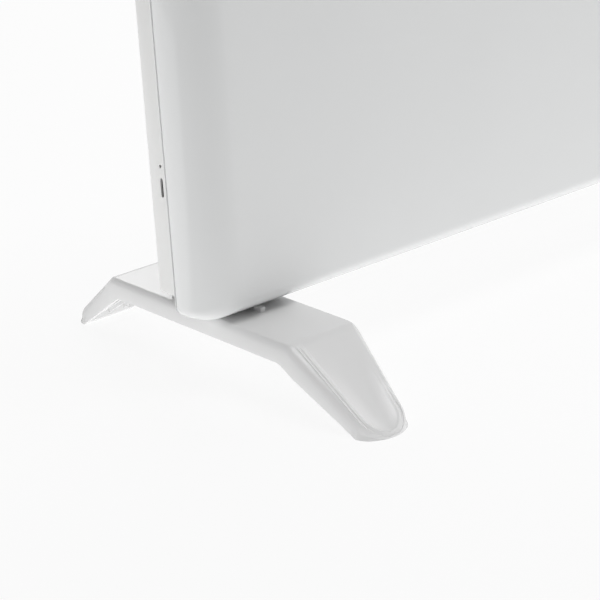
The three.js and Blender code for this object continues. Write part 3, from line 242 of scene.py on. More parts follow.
def cover_profile():
    """Rows of (y, inset in x, inset in z, corner radius), from the inner face out round
    the rim, over the joint's shadow line and on to the outer face. The roll's angle runs
    from 0 at the side to 90 at the front: the inset is 1 - cos of it and the depth
    1 - sin."""
    angle = np.linspace(0, math.pi / 2, ROLL_STEPS)
    walls = []
    for wall in (SHEET, 0.0):
        y = COVER_FRONT + wall + (ROLL_DEPTH - wall) * (1 - np.sin(angle))
        inset_x = wall + (ROLL_SIDE - wall) * (1 - np.cos(angle))
        depth, inset = EDGE_DEPTH - wall, EDGE_INSET - wall
        behind = np.clip(1 - (y - COVER_FRONT - wall) / depth, 0, 1)
        inset_z = wall + inset * (1 - np.sqrt(1 - behind**2))
        corner = np.full_like(y, COVER_CORNER - wall)
        walls.append(np.stack([y, inset_x, inset_z, corner], axis=-1))
    rim = [
        [COVER_REAR - SHEET, SHEET, SHEET, COVER_CORNER - SHEET],
        [COVER_REAR - SHEET, MOUTH_SIDE, SHEET, MOUTH_CORNER],
        [COVER_REAR, MOUTH_SIDE, SHEET, MOUTH_CORNER],
    ]
    for turn in np.linspace(0, math.pi / 2, FOLD_STEPS):
        out = COVER_FOLD * (1 - math.sin(turn))
        y = COVER_REAR - COVER_FOLD * (1 - math.cos(turn))
        rim.append([y, out, out, COVER_CORNER - out / 2])
    joint = [(JOINT_START, 0), (JOINT_START, JOINT_DEEP)]
    joint += [(JOINT_END, JOINT_DEEP), (JOINT_END, 0)]
    for y, out in joint:
        rim.append([y, out, out, COVER_CORNER - out / 2])
    return np.concatenate([walls[0][::-1], rim, walls[1]])


cover_rings = [
    rounded_ring(COVER_HALF_WIDTH - ix, COVER_HALF_HEIGHT - iz, corner, y, COVER_MIDDLE_Z)
    for y, ix, iz, corner in cover_profile()
]
SOFT_ANGLE = 40.0  # degrees: edges flatter than this are shaded smooth
cover_skin = skin(np.stack(cover_rings))
cover = piece("cover_shell", [cover_skin], "heater", "cover_paint", SOFT_ANGLE)
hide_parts("front_cover")

# %% [markdown]
# ## The feet
# Each foot is an injection moulding: an inverted trough with an even wall, ribs below
# and soft edges above. A flat plate carries the body, and a leg slopes down at each end
# to a round toe. The face of each leg is a tongue, scooped out towards the tip, with a
# fine groove along it. All of it follows from the distance to the foot's middle, so the
# foot is a stack of sections: over the outer skin and back along the hollow.

# %% Rules of the foot's form
FOOT_X = 274.0
FOOT_HALF, FOOT_HEIGHT = 28.0, 48.0
PLATE_END, SKIRT_END, SKIRT_Z = 90.0, 81.0, 35.2
LEG_SLOPE = 0.772
TOE_START, TOE_END, TOE_HALF, TOE_THICKNESS = 137.0, 150.9, 19.25, 1.6
CREASE_BLEND, FOOT_WALL, HOLLOW_END = 4.0, 2.6, 133.0
PLATE_TAPER, PLATE_TAPER_BLEND = 0.06, 0.3  # narrowing a side in mm per mm
LEG_TAPER, LEG_TAPER_START, LEG_TAPER_BLEND = 0.13, 92.0, 2.0


def bend(along, corner, slope, blend):
    """Level before the corner and falling at the slope after it, with a parabola over
    the blend on both sides of it."""
    past = along - corner
    curve = slope * (past + blend) ** 2 / (4 * blend)
    return np.where(past <= -blend, 0.0, np.where(past >= blend, slope * past, curve))


def foot_top(along):
    """Height of the plate and of the legs' faces."""
    fall = bend(along, PLATE_END, LEG_SLOPE, CREASE_BLEND)
    return np.maximum(FOOT_HEIGHT - fall, TOE_THICKNESS)


def foot_bottom(along):
    """Height of the side walls' lower edge."""
    slope = SKIRT_Z / (TOE_START - SKIRT_END)
    return np.maximum(SKIRT_Z - bend(along, SKIRT_END, slope, CREASE_BLEND / 2), 0.0)


def toe_round(along):
    """Share of the width left in the toe: a quarter ellipse."""
    past = np.clip((along - TOE_START) / (TOE_END - TOE_START), 0, 1)
    return np.sqrt(1 - past**2)


def half_top(along):
    """Half the width at the top: a slight taper from the skirt's end, more on the leg."""
    plate = bend(along, SKIRT_END, PLATE_TAPER, PLATE_TAPER_BLEND)
    return FOOT_HALF - plate - bend(along, LEG_TAPER_START, LEG_TAPER, LEG_TAPER_BLEND)


def half_bottom(along):
    """Half the width at the side walls' lower edge."""
    share = np.clip((along - SKIRT_END) / (TOE_START - SKIRT_END), 0, 1)
    return FOOT_HALF - share * (FOOT_HALF - TOE_HALF)


print("foot:", 2 * TOE_END, "x", 2 * FOOT_HALF, "x", FOOT_HEIGHT, "mm")

# %% The leg's rim and tongue
RIM_START, RIM_HALF, RIM_TAPER = 91.0, 22.5, 0.115
TONGUE_START, TONGUE_HALF, TONGUE_TAPER = 92.0, 17.3, 0.1115
TONGUE_TIP, TONGUE_ROUND = 135.5, 12.45


def rim_half(along):
    """Half the width between the legs' rims: two straight lines that close in."""
    return RIM_HALF - RIM_TAPER * (along - RIM_START)


def tongue_side(along):
    """Half the width of the tongue between its straight lips."""
    return TONGUE_HALF - TONGUE_TAPER * (along - TONGUE_START)


def lip_half(along):
    """Half the width of the tongue: straight lips, then a half circle round the tip."""
    past = np.clip(along - TONGUE_TIP, 0, TONGUE_ROUND)
    tip = np.sqrt(TONGUE_ROUND**2 - past**2)
    return np.where(along > TONGUE_TIP, tip, tongue_side(along))


def tongue_inside(x, along):
    """Distance inside the tongue's outline, negative outside it."""
    tip = TONGUE_ROUND - np.hypot(x, along - TONGUE_TIP)
    return np.where(along > TONGUE_TIP, tip, tongue_side(along) - np.abs(x))


for along in (104.0, 132.0):
    halves = [round(float(rule(along)), 1) for rule in (rim_half, lip_half)]
    print("half width at", along, "mm: rim and lip", halves)

# %% The leg's fine lines
LINES_START, TOE_FADE = (90.0, 93.5), (138.0, 144.0)  # where lines come in, and weaken
TOE_LOSS = 0.4  # share of their height that bead and groove lose towards the toe
INNER_FADE = (118.0, 134.0)  # where they come in on the foot's inner side
INNER_ACROSS = 6.0  # from the foot's middle line out to its inner side
STEP_DOWN, STEP_WIDTH = 0.5, 0.5
BEAD_HEIGHT, BEAD_IN, BEAD_WIDTH = 0.4, 0.6, 0.45  # in from the rim
GROOVE_DEPTH, GROOVE_OUT, GROOVE_WIDTH = 0.7, 2.7, 0.5  # out from the tongue's outline
LIP_HEIGHT, LIP_OUT, LIP_WIDTH = 0.5, 0.8, 0.75
SCOOP_LEAST, SCOOP_MORE, SCOOP_REACH = 0.3, 2.3, 11.0
SCOOP_START, SCOOP_DEEPENS = (91.0, 97.0), (100.0, 145.0)


def bell(distance, width):
    """exp(-(distance / width)^2): 1 on a line and nearly 0 twice its width away."""
    return np.exp(-((distance / width) ** 2))


def scoop_depth(along):
    """Depth of the tongue's scoop in its middle: it deepens to the tip."""
    depth = SCOOP_LEAST + SCOOP_MORE * smoothstep(along, *SCOOP_DEEPENS)
    return depth * smoothstep(along, *SCOOP_START)


def relief(x, along, rim):
    """Height over the leg's face, from the rim inwards: a step up, a round bead, a
    narrow bell-shaped groove, a low crest on the lip, and the scoop, whose section
    falls like 1 - (1 - s)^2. All lines fade on the foot's inner side, and the bead and
    the groove also towards the toe."""
    inside, in_from_rim = tongue_inside(x, along), rim - np.abs(x)
    inner = smoothstep(x, 0.0, INNER_ACROSS) * (1 - smoothstep(along, *INNER_FADE))
    leg = smoothstep(along, *LINES_START)
    fine = leg * (1 - inner) * (1 - TOE_LOSS * smoothstep(along, *TOE_FADE))
    step = -STEP_DOWN * (1 - smoothstep(in_from_rim, 0.0, STEP_WIDTH)) * leg * (1 - inner)
    bead = BEAD_HEIGHT * bell(in_from_rim - BEAD_IN, BEAD_WIDTH) * fine
    groove = -GROOVE_DEPTH * bell(inside + GROOVE_OUT, GROOVE_WIDTH) * fine
    crest = LIP_HEIGHT * bell(inside + LIP_OUT, LIP_WIDTH) * leg * (1 - inner)
    bowl = 1 - (1 - np.clip(inside / SCOOP_REACH, 0, 1)) ** 2
    return step + bead + groove + crest - scoop_depth(along) * bowl


print("scoop at", TONGUE_TIP, "mm:", round(float(scoop_depth(TONGUE_TIP)), 2), "mm deep")

# %% Stations along the foot
PLATE_STATIONS, TOE_STATIONS = 24, 60
LEG_STEP, END_WALL = 0.5, 0.05  # mm between stations on the legs and at the hollow's end
TAPER_STATIONS = np.array([-0.6, 0.0, 0.6])  # about where the sides start to close in


def foot_stations():
    """Distances along the foot: coarse on the plate, 0.5 mm on the legs and crowding
    at the toe's end. The hollow's end wall stands between two stations."""
    plate = np.linspace(0, SKIRT_END - 2, PLATE_STATIONS)
    taper = SKIRT_END + TAPER_STATIONS
    leg = np.arange(SKIRT_END + 1.2, TOE_START, LEG_STEP)
    turn = np.linspace(0, math.pi / 2, TOE_STATIONS)
    toe = TOE_START + (TOE_END - TOE_START) * np.sin(turn)
    wall = [HOLLOW_END, HOLLOW_END + END_WALL]
    plus = np.unique(np.concatenate([plate, taper, leg, wall, toe]).round(4))
    return np.concatenate([-plus[:0:-1], plus])


print(len(foot_stations()), "stations along the foot")

# %% Foot sections
LEG_BLEND = (86.0, 95.0)  # where the plate's edge turns into the leg's
EDGE_WIDE, EDGE_HIGH, EDGE_SHARE = 3.2, 5.5, 0.6  # the share is of the wall's height
PLATE_STOP, LEG_STOP = 8.0, 14.0  # degrees that the edge stops short of level
RIM_DROP, LOWER_ROUND = 0.4, 0.5
ROOF_SHARE, ROOF_CORNER = 0.8, 1.5  # the hollow's roof follows the scoop by this share
HOLLOW_LEAST = 0.3  # mm between the hollow's roof and the walls' lower edge
LIP_MOST, RELIEF_MOST = 0.8, 0.8  # shares of the rim's half width and the wall's height
ROUND_MIDDLE = 0.3  # a round edge's middle point, 1 - cos 45 degrees of its radius in
FLAT_SHARES = np.array([[0.9, 0.8, 0.7]])  # of the half width, past the hollow's ends
EDGE_POINTS, BAND_POINTS, LIP_POINTS, BOWL_POINTS = 12, 15, 21, 33  # across a section


def edge_rows(along, wide, reach_x):
    """The round top edge from the wall to the rim, an ellipse that stops short of
    level: its x, its heights on the inner and the outer side, and its reach in z. On
    the legs' outer side it ends under the bead."""
    top, low = foot_top(along), foot_bottom(along)
    reach_z = np.minimum(EDGE_HIGH, EDGE_SHARE * (top - low))
    end = math.pi / 2 - np.radians(PLATE_STOP + LEG_STOP * smoothstep(along, *LEG_BLEND))
    turn = np.linspace(0, 1, EDGE_POINTS)[None, :] * end
    x = wide - reach_x * (1 - np.cos(turn)) / (1 - np.cos(end))
    heights = []
    for share in (smoothstep(along, *INNER_FADE), 1.0):
        drop = np.minimum(RIM_DROP * smoothstep(along, *LINES_START) * share, reach_z / 2)
        heights.append(top - drop - (reach_z - drop) * (1 - np.sin(turn) / np.sin(end)))
    return x, heights, reach_z


def face_rows(along, rim):
    """The face from rim to rim: a fine band over bead, groove and lip, the bowl at
    the cosines of even angles, and the band back."""
    top, low = foot_top(along), foot_bottom(along)
    lip = np.minimum(lip_half(along), rim * LIP_MOST)
    valley = np.minimum(lip + GROOVE_OUT, (rim + lip) / 2)
    outer = rim + (valley - rim) * np.linspace(0, 1, BAND_POINTS)[None, 1:]
    inner = valley + (lip - valley) * np.linspace(0, 1, LIP_POINTS)[None, 1:]
    bowl = lip * np.cos(np.linspace(0, math.pi, BOWL_POINTS))[None, 1:-1]
    band = np.concatenate([outer, inner], axis=1)
    x = np.concatenate([band, bowl, -band[:, ::-1]], axis=1)
    return x, top + np.maximum(relief(x, along, rim), -RELIEF_MOST * (top - low))


def hollow_rows(along, base):
    """The hollow's wall and roof on one side. Past its ends these points lie in the
    flat underside."""
    top, low = foot_top(along), foot_bottom(along)
    roof = np.maximum(top - FOOT_WALL - ROOF_SHARE * scoop_depth(along), low + HOLLOW_LEAST)
    corner = np.minimum(ROOF_CORNER, (roof - low) / 2)
    x = np.concatenate([half_bottom(along), half_top(along), half_top(along)], axis=1)
    x = x - FOOT_WALL - np.concatenate([0 * corner, 0 * corner, corner], axis=1)
    z = np.concatenate([low, roof - corner, roof], axis=1)
    solid = along > HOLLOW_END
    return np.where(solid, base * FLAT_SHARES, x), np.where(solid, low, z)


def foot_rings():
    """Each ring goes from the right wall's lower edge up the wall, round the top edge,
    over the face and down the left wall, then back along the hollow."""
    y = foot_stations()[:, None]
    along = np.abs(y)
    low, shrink, leg = foot_bottom(along), toe_round(along), smoothstep(along, *LEG_BLEND)
    wide = half_top(along) * shrink
    base = np.maximum(half_bottom(along) * shrink, wide)
    reach_x = (EDGE_WIDE + leg * (half_top(along) - rim_half(along) - EDGE_WIDE)) * shrink
    edge_x, edge_z, reach_z = edge_rows(along, wide, reach_x)
    lower = np.minimum(LOWER_ROUND, reach_z / 3)
    wall_x = np.concatenate([base - lower, base - lower * ROUND_MIDDLE, base], axis=1)
    wall_z = np.concatenate([low, low + lower * ROUND_MIDDLE, low + lower], axis=1)
    inner_x, inner_z = hollow_rows(along, base)
    rows = [
        (wall_x, wall_z),
        (edge_x, edge_z[0]),
        face_rows(along, wide - reach_x),
        (-edge_x[:, ::-1], edge_z[1][:, ::-1]),
        (-wall_x[:, ::-1], wall_z[:, ::-1]),
        (-inner_x, inner_z),
        (inner_x[:, ::-1], inner_z[:, ::-1]),
    ]
    x, z = (np.concatenate(parts, axis=1) for parts in zip(*rows))
    return np.stack([x, np.broadcast_to(y, x.shape), z], axis=-1)


print("rings and points of a foot's skin:", foot_rings().shape[:2])

# %% Ribs and screw bosses
RIB_THICK, RIB_SPREAD, RIB_STEP = 1.8, 1.15, 12.7  # the spread widens a rib's root
RIB_IN, RIB_UP = 0.6, 2.0  # into the wall or roof, and up from the walls' lower edges
RIB_LEAST, RIB_STATIONS = 0.1, 135  # the least height in mm, and stations along a rib
SCREW_STEP, SCREW_Y = 13.0, 17.7
BOSS_RADIUS, BOSS_LOW, BOSS_TOP = 5.5, 38.2, 46.2
WELL_RADIUS, WELL_TOP, BOSS_EDGE = 4.1, 45.3, 0.4


def long_rib(x):
    """A rib along the foot: its upper edge lies in the roof and its lower edge runs
    above the walls'. A station has the four corners of its section."""
    y = np.linspace(-HOLLOW_END, HOLLOW_END, RIB_STATIONS)
    along = np.abs(y)
    roof = foot_top(along) - FOOT_WALL + RIB_IN - ROOF_SHARE * scoop_depth(along)
    low = np.minimum(foot_bottom(along) + RIB_UP, roof - RIB_LEAST)
    half, root = RIB_THICK / 2, RIB_THICK / 2 * RIB_SPREAD
    corners = [(-half, low), (half, low), (root, roof), (-root, roof)]
    rows = [np.stack([x + dx + 0 * y, y, z], axis=-1) for dx, z in corners]
    return skin(np.stack(rows, axis=1))


def cross_rib(y):
    """A rib across the plate, from wall to wall."""
    reach, half = FOOT_HALF - FOOT_WALL + RIB_IN, RIB_THICK / 2
    roof = float(foot_top(abs(y))) - FOOT_WALL + RIB_IN
    return box_skin((-reach, y - half, SKIRT_Z + RIB_UP), (reach, y + half, roof))


def screw_boss(x):
    """A tube under the plate, open below, for a screw's head."""
    outer, inner, edge = BOSS_RADIUS, WELL_RADIUS, BOSS_EDGE
    profile = [(0, BOSS_TOP), (outer, BOSS_TOP), (outer, BOSS_LOW + edge)]
    profile += [(outer - edge, BOSS_LOW), (inner + edge, BOSS_LOW)]
    profile += [(inner, BOSS_LOW + edge), (inner, WELL_TOP), (0, WELL_TOP)]
    return turned_skin(profile, (x, SCREW_Y), steps=32)


# %% Seat and peg
BLOCK_LOW, BLOCK_STEPS = 47.0, 5  # 1 mm inside the plate, and rows of a round edge
SEAT = {"half_x": 22.0, "y": SCREW_Y, "half_y": 12.0, "high": 51.7, "edge": 0.6}
PEG = {"half_x": 2.0, "y": -31.0, "half_y": 3.5, "high": 51.0, "edge": 0.5}


def raised_block(half_x, y, half_y, low, high, edge):
    """An upright block with a round upper edge and small corners."""
    rings = []
    for turn in np.linspace(0, math.pi / 2, BLOCK_STEPS):
        inset = edge * (1 - math.cos(turn))
        ring = rounded_ring(half_x - inset, half_y - inset, edge, 0, 0, BLOCK_STEPS)
        height = np.full(len(ring), high - edge * (1 - math.sin(turn)))
        rings.append(np.stack([ring[:, 0], y + ring[:, 2], height], axis=-1))
    floor = rings[0].copy()
    floor[:, 2] = low
    return skin(np.stack([floor] + rings))


# %% Both feet
FOOT_ANGLE = 32.0  # degrees: edges flatter than this are shaded smooth


def foot_shells():
    """Every shell of one foot, round x = 0."""
    shells = [skin(foot_rings(), capped=False)]
    shells += [long_rib(x) for x in (-RIB_STEP, 0.0, RIB_STEP)]
    shells += [cross_rib(y) for y in (-SKIRT_END, -SKIRT_END / 2, SKIRT_END)]
    shells += [screw_boss(x) for x in (-SCREW_STEP, SCREW_STEP)]
    shells += [raised_block(low=BLOCK_LOW, **block) for block in (SEAT, PEG)]
    return shells


one_foot = foot_shells()
feet = []
for word, side in (("left", -1), ("right", 1)):
    mirror, shift = [-side, 1, 1], [side * FOOT_X, 0, 0]
    moved = [(points * mirror + shift, faces) for points, faces in one_foot]
    foot = piece(f"foot_moulding_{word}", moved, "heater", "foot_plastic", FOOT_ANGLE)
    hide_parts(f"foot_{word}")
    feet.append(foot)

# %% [markdown]
# ## Softened sheet and mouldings
# Folded sheet and moulded plastic never end in a knife edge. The pieces below already
# have their right shape in the CAD, so a merged copy of each gets a narrow bevel: the
# bright line that it catches tells the eye how thick and how hard the material is.


# %% Copies with rounded edges
BEVEL_ANGLE, BEVEL_SEGMENTS, FLAT_ANGLE = 32.0, 2, 0.6  # degrees, and rows a bevel
CAD_MERGE = 0.004  # mm
slot_of = {part["node"]: part["material_slot"] for part in frame["record"]["subparts"]}


def softened(name, width):
    """A merged copy of a CAD node that replaces it, with every edge sharper than the
    bevel's angle rounded to this width in mm."""
    source = frame["nodes"][name]
    mesh = source.data.copy()
    mesh.name = name + "_edged"
    work = bmesh.new()
    work.from_mesh(mesh)
    bmesh.ops.remove_doubles(work, verts=work.verts, dist=CAD_MERGE * MM)
    flat = math.radians(FLAT_ANGLE)
    bmesh.ops.dissolve_limit(work, angle_limit=flat, verts=work.verts, edges=work.edges)
    shade(work, BEVEL_ANGLE)
    work.to_mesh(mesh)
    work.free()
    made = bpy.data.objects.new(mesh.name, mesh)
    bpy.context.scene.collection.objects.link(made)
    bevel = made.modifiers.new("edge", "BEVEL")
    bevel.width, bevel.segments = width * MM, BEVEL_SEGMENTS
    bevel.limit_method, bevel.angle_limit = "ANGLE", math.radians(BEVEL_ANGLE)
    bevel.harden_normals = True
    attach(made, source["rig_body"])
    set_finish(made, slot_of[name])
    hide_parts(name)
    print(mesh.name, len(mesh.polygons), "faces before its bevel of", width, "mm")
    return made


BEVELS = {  # widths in mm: a tight fold, mouldings, and the gland's softer ones
    "rear_housing": 0.35,
    "outlet_grille": 0.3,
    "intake_grille": 0.3,
    "control_fascia": 0.3,
    "rocker_frame": 0.3,
    "cord_gland": 0.4,
    "gland_nut": 0.4,
}
edged = [softened(name, width) for name, width in BEVELS.items()]

# %% [markdown]
# ## Knob, rocker and lamp
# The thermostat's knob is gripped with two fingers, so its wall is fluted: its radius
# is a circle less a row of scallops, and the profile brings them in and out again. The
# rocker's face is a shallow valley between two crests. The lamp's lens is a low dome.

# %% Thermostat knob
KNOB_X, CONTROL_Y, KNOB_LOW, KNOB_TOP = 276.0, 13.7, 451.9, 464.9
FLUTES, FLUTE_STEPS, FLUTE_DEPTH, FLUTE_POWER = 12, 20, 0.8, 0.8
KNOB_PROFILE = [  # radius, height over the knob's lower edge, share of the flutes
    (0, 9.6, 0), (10.9, 9.6, 0), (11.4, 9.1, 0), (11.4, 0.2, 0), (11.6, 0, 0),
    (13.6, 0, 0), (13.9, 0.15, 0), (14.0, 0.5, 0), (14.0, 1.3, 0), (13.9, 1.7, 0.05),
    (13.75, 2.1, 0.4), (13.7, 2.6, 0.9), (13.6, 3.4, 1), (13.4, 6.5, 1), (13.2, 9.8, 1),
    (13.1, 10.6, 0.9), (12.95, 11.3, 0.7), (12.65, 11.95, 0.4), (12.2, 12.5, 0.15),
    (11.6, 12.85, 0), (10.9, 13.0, 0), (10.3, 12.95, 0), (9.4, 12.7, 0), (7.0, 12.5, 0),
    (3.0, 12.4, 0), (0, 12.4, 0),
]


def knob_skin():
    """Rings of radius R less depth x share x a row of scallops, the 0.8th power of
    the half cosine, one for each flute."""
    r, z, share = (np.array(column, float)[:, None] for column in zip(*KNOB_PROFILE))
    angle = np.linspace(0, 2 * math.pi, FLUTES * FLUTE_STEPS, endpoint=False)
    scallop = (0.5 + 0.5 * np.cos(FLUTES * angle)) ** FLUTE_POWER
    r = r - FLUTE_DEPTH * share * scallop
    x, y = KNOB_X + r * np.cos(angle), CONTROL_Y + r * np.sin(angle)
    rings = np.stack([x, y, np.broadcast_to(KNOB_LOW + z, x.shape)], axis=-1)
    return skin(rings, capped=False)


HUB_INNER, HUB_OUTER, HUB_LOW, HUB_ROOF = 3.3, 5.4, KNOB_LOW + 0.3, KNOB_LOW + 9.4
HUB_TOP = KNOB_LOW + 10
hub_profile = [
    (HUB_INNER, HUB_LOW), (HUB_OUTER, HUB_LOW), (HUB_OUTER, HUB_TOP), (0, HUB_TOP),
    (0, HUB_ROOF), (HUB_INNER, HUB_ROOF), (HUB_INNER, HUB_LOW),
]
hub = turned_skin(hub_profile, (KNOB_X, CONTROL_Y), steps=32)
knob_shells = [knob_skin(), hub]
knob = piece("knob_fluted", knob_shells, "thermostat_dial", "knob_plastic", SOFT_ANGLE)
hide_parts("thermostat_knob")

# %% Knob's pointer
POINTER_ANGLE, POINTER_OUT = 240.0, 9.2
POINTER = {"half_x": 2.4, "half_y": 0.75, "edge": 0.35}
POINTER_LOW, POINTER_HIGH = KNOB_TOP - 1.2, KNOB_TOP + 0.25


def about_upright(shell, middle, degrees):
    """Turns a shell's points about an upright axis."""
    points, faces = shell
    c, s = math.cos(math.radians(degrees)), math.sin(math.radians(degrees))
    x, y = points[:, 0] - middle[0], points[:, 1] - middle[1]
    turned = [middle[0] + c * x - s * y, middle[1] + s * x + c * y, points[:, 2]]
    return np.stack(turned, axis=-1), faces


bar, bar_faces = raised_block(y=0.0, low=POINTER_LOW, high=POINTER_HIGH, **POINTER)
bar = (bar + [KNOB_X + POINTER_OUT, CONTROL_Y, 0], bar_faces)
bar = about_upright(bar, (KNOB_X, CONTROL_Y), POINTER_ANGLE)
pointer = piece("knob_pointer", [bar], "thermostat_dial", "switch_plastic", SOFT_ANGLE)

# %% Rocker
ROCKER_X, ROCKER_Z, ROCKER_TILT = 240.0, 450.1, 11.0
ROCKER_WAIST, ROCKER_CREST, ROCKER_HALF = 7.0, 6.7, 4.3  # half lengths and half width
CREST_HEIGHT, VALLEY, BELLY, FLANK, ROCKER_EDGE = 4.6, 1.7, 6.3, 0.5, 0.5
CREST_SHARE, CREST_ROUND = 0.15, 0.35
PIN, PIN_EDGE, PIN_HALF = 1.1, 0.2, ROCKER_HALF + 0.9
FACE_POINTS, BELLY_POINTS, SIDE_ROWS = 41, 25, 6


def rocker_outline():
    """Half an ellipse below, short flanks, and a face that sinks between its crests
    along a parabola. The crests are round: the last 15 percent of the face falls by
    0.35 mm more, again along a parabola."""
    t = np.linspace(-1, 1, FACE_POINTS)
    ends = np.clip(np.abs(t) - (1 - CREST_SHARE), 0, 1) / CREST_SHARE
    dip = CREST_HEIGHT - VALLEY * (1 - t**2) - CREST_ROUND * ends**2
    face = np.stack([t * ROCKER_CREST, dip], axis=-1)
    turn = np.linspace(0, -math.pi, BELLY_POINTS)
    belly = BELLY * np.sin(turn) + FLANK * np.cos(turn) ** 2
    under = np.stack([ROCKER_WAIST * np.cos(turn), belly], axis=-1)
    return np.concatenate([face, under])


def rocker_skin():
    """The outline carried across the switch, drawn in by a round edge at both sides."""
    outline, turn = rocker_outline(), np.linspace(0, math.pi / 2, SIDE_ROWS)
    inset, reach = ROCKER_EDGE * (1 - np.sin(turn)), ROCKER_EDGE * (1 - np.cos(turn))
    inset = np.concatenate([inset, inset[::-1]])[:, None]
    y = np.concatenate([reach - ROCKER_HALF, ROCKER_HALF - reach[::-1]])[:, None]
    x = outline[:, 0] * (1 - inset / ROCKER_WAIST)
    z = outline[:, 1] * (1 - inset / BELLY)
    return skin(np.stack([x, np.broadcast_to(y, x.shape), z], axis=-1))


def tilted(shell):
    """Turns a shell about the rocker's pins and sets it in the switch."""
    points, faces = shell
    c, s = math.cos(math.radians(ROCKER_TILT)), math.sin(math.radians(ROCKER_TILT))
    x, y, z = points.T
    turned = [ROCKER_X + c * x + s * z, CONTROL_Y + y, ROCKER_Z - s * x + c * z]
    return np.stack(turned, axis=-1), faces


pin_profile = [(0, -PIN_HALF), (PIN - PIN_EDGE, -PIN_HALF), (PIN, -PIN_HALF + PIN_EDGE)]
pin_profile += [(r, -h) for r, h in pin_profile[::-1]]
points, faces = turned_skin(pin_profile, (0.0, 0.0), steps=24)
rocker_shells = [tilted(rocker_skin()), tilted((points[:, [0, 2, 1]], faces))]
rocker = piece("rocker_domed", rocker_shells, "rocker", "switch_plastic", SOFT_ANGLE)
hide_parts("power_rocker")
low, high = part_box("power_rocker")
print("the CAD rocker's box", [round(v / MM, 2) for v in (*low, *high)])

# %% Lamp's lens
LENS_X, LENS_LOW, LENS_SEAT, LENS_STEM = 222.0, 445.3, 451.6, 2.6
LENS_RADIUS, LENS_EDGE, LENS_RIM, LENS_DOME, LENS_ROWS = 3.6, 0.1, 0.8, 1.6, 17
turn = np.linspace(0, math.pi / 2, LENS_ROWS)
dome = [LENS_RADIUS * np.cos(turn), LENS_SEAT + LENS_RIM + LENS_DOME * np.sin(turn)]
lens_profile = [(0, LENS_LOW), (LENS_STEM, LENS_LOW), (LENS_STEM, LENS_SEAT)]
lens_profile += [(LENS_RADIUS - LENS_EDGE, LENS_SEAT), (LENS_RADIUS, LENS_SEAT + LENS_EDGE)]
lens_profile += np.stack(dome, axis=-1).tolist()
lens_skin = turned_skin(lens_profile, (LENS_X, CONTROL_Y), steps=48)
lens = piece("lens_domed", [lens_skin], "heater", "pilot_lens", SOFT_ANGLE)
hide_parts("pilot_lens")
low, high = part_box("pilot_lens")
print("the CAD lens's box", [round(v / MM, 2) for v in (*low, *high)])

# %% [markdown]
# ## Screws
# Pan heads with a cross recess, cold headed from zinc-plated wire. A recess in a round
# head is simplest as a height over the disc: the crown's curve, less two crossed
# grooves with sloping walls. The ten screws share the form and differ in length.

# %% Screws
HEAD_RADIUS, HEAD_HEIGHT, HEAD_EDGE, HEAD_ROUND = 3.8, 2.2, 1.1, 0.15
SHANK_RADIUS, SHANK_FILLET, SCREW_POINT = 2.0, 0.2, 0.8
RECESS_DEPTH, RECESS_HALF, RECESS_REACH = 1.2, 0.42, 1.75
RECESS_SIDE, RECESS_END = 0.15, 0.35  # widths of the grooves' slopes
RECESS_WIDER = 0.1  # how much wider each side of a groove's mouth is
HEAD_RINGS, SCREW_STEPS, SCREW_ANGLE = 34, 96, 30.0


def head_height(x, y):
    """Height of the head's top: a low crown, less the deeper of two crossed grooves
    that fall off linearly at their sides and ends."""
    crown = HEAD_HEIGHT - (HEAD_HEIGHT - HEAD_EDGE) * (np.hypot(x, y) / HEAD_RADIUS) ** 3
    arms = []
    for across, along in ((x, y), (y, x)):
        side = np.clip((RECESS_HALF + RECESS_WIDER - np.abs(across)) / RECESS_SIDE, 0, 1)
        arms.append(side * np.clip((RECESS_REACH - np.abs(along)) / RECESS_END, 0, 1))
    return crown - RECESS_DEPTH * np.maximum(*arms)


def screw_skin(length):
    """Rings from the middle of the head's top out to its edge, under it and down the
    shank to the point. It stands on z = 0 under its head."""
    angle = np.linspace(0, 2 * math.pi, SCREW_STEPS, endpoint=False)
    r = np.linspace(0, HEAD_RADIUS, HEAD_RINGS)[:, None]
    x, y = r * np.cos(angle), r * np.sin(angle)
    top = np.stack([x, y, head_height(x, y)], axis=-1)
    below = [(HEAD_RADIUS, HEAD_ROUND), (HEAD_RADIUS - HEAD_ROUND, 0)]
    below += [(SHANK_RADIUS + SHANK_FILLET, 0), (SHANK_RADIUS, -SHANK_FILLET)]
    below += [(SHANK_RADIUS, SCREW_POINT - length)]
    below += [(SHANK_RADIUS - SCREW_POINT, -length), (0, -length)]
    r, z = np.array(below).T[:, :, None]
    x, y = r * np.cos(angle), r * np.sin(angle)
    below = np.stack([x, y, np.broadcast_to(z, x.shape)], axis=-1)
    return skin(np.concatenate([top, below]), capped=False)


screws = []
for name, source in frame["nodes"].items():
    if "_screw_" not in name:
        continue
    low, high = (np.array(corner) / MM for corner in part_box(name))
    middle, axis = (low + high) / 2, int(np.argmax(high - low))
    points, faces = screw_skin(high[axis] - low[axis] - HEAD_HEIGHT)
    if axis == 1:  # the cover's screws: heads to the rear
        points = points[:, [0, 2, 1]] * [1, 1, -1]
        place = [middle[0], high[1] - HEAD_HEIGHT, middle[2]]
    else:  # the feet's screws: heads down
        points = points * [1, -1, -1]
        place = [middle[0], middle[1], low[2] + HEAD_HEIGHT]
    shells = [(points + place, faces)]
    made = piece(name + "_cross", shells, "heater", "screw_steel", SCREW_ANGLE)
    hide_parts(name)
    screws.append(made)

# %% [markdown]
# ## Materials
# A helper turns the sRGB hex of a real finish into linear light, one turns a real grain
# in millimetres into a texture's scale, and one adds a node with its settings and links.


# %% Material helpers
def linear(code):
    """An sRGB hex colour as linear RGBA."""
    srgb = np.array([int(code[i : i + 2], 16) for i in (1, 3, 5)]) / 255
    low, high = srgb / 12.92, ((srgb + 0.055) / 1.055) ** 2.4
    return (*np.where(srgb <= 0.04045, low, high).tolist(), 1.0)


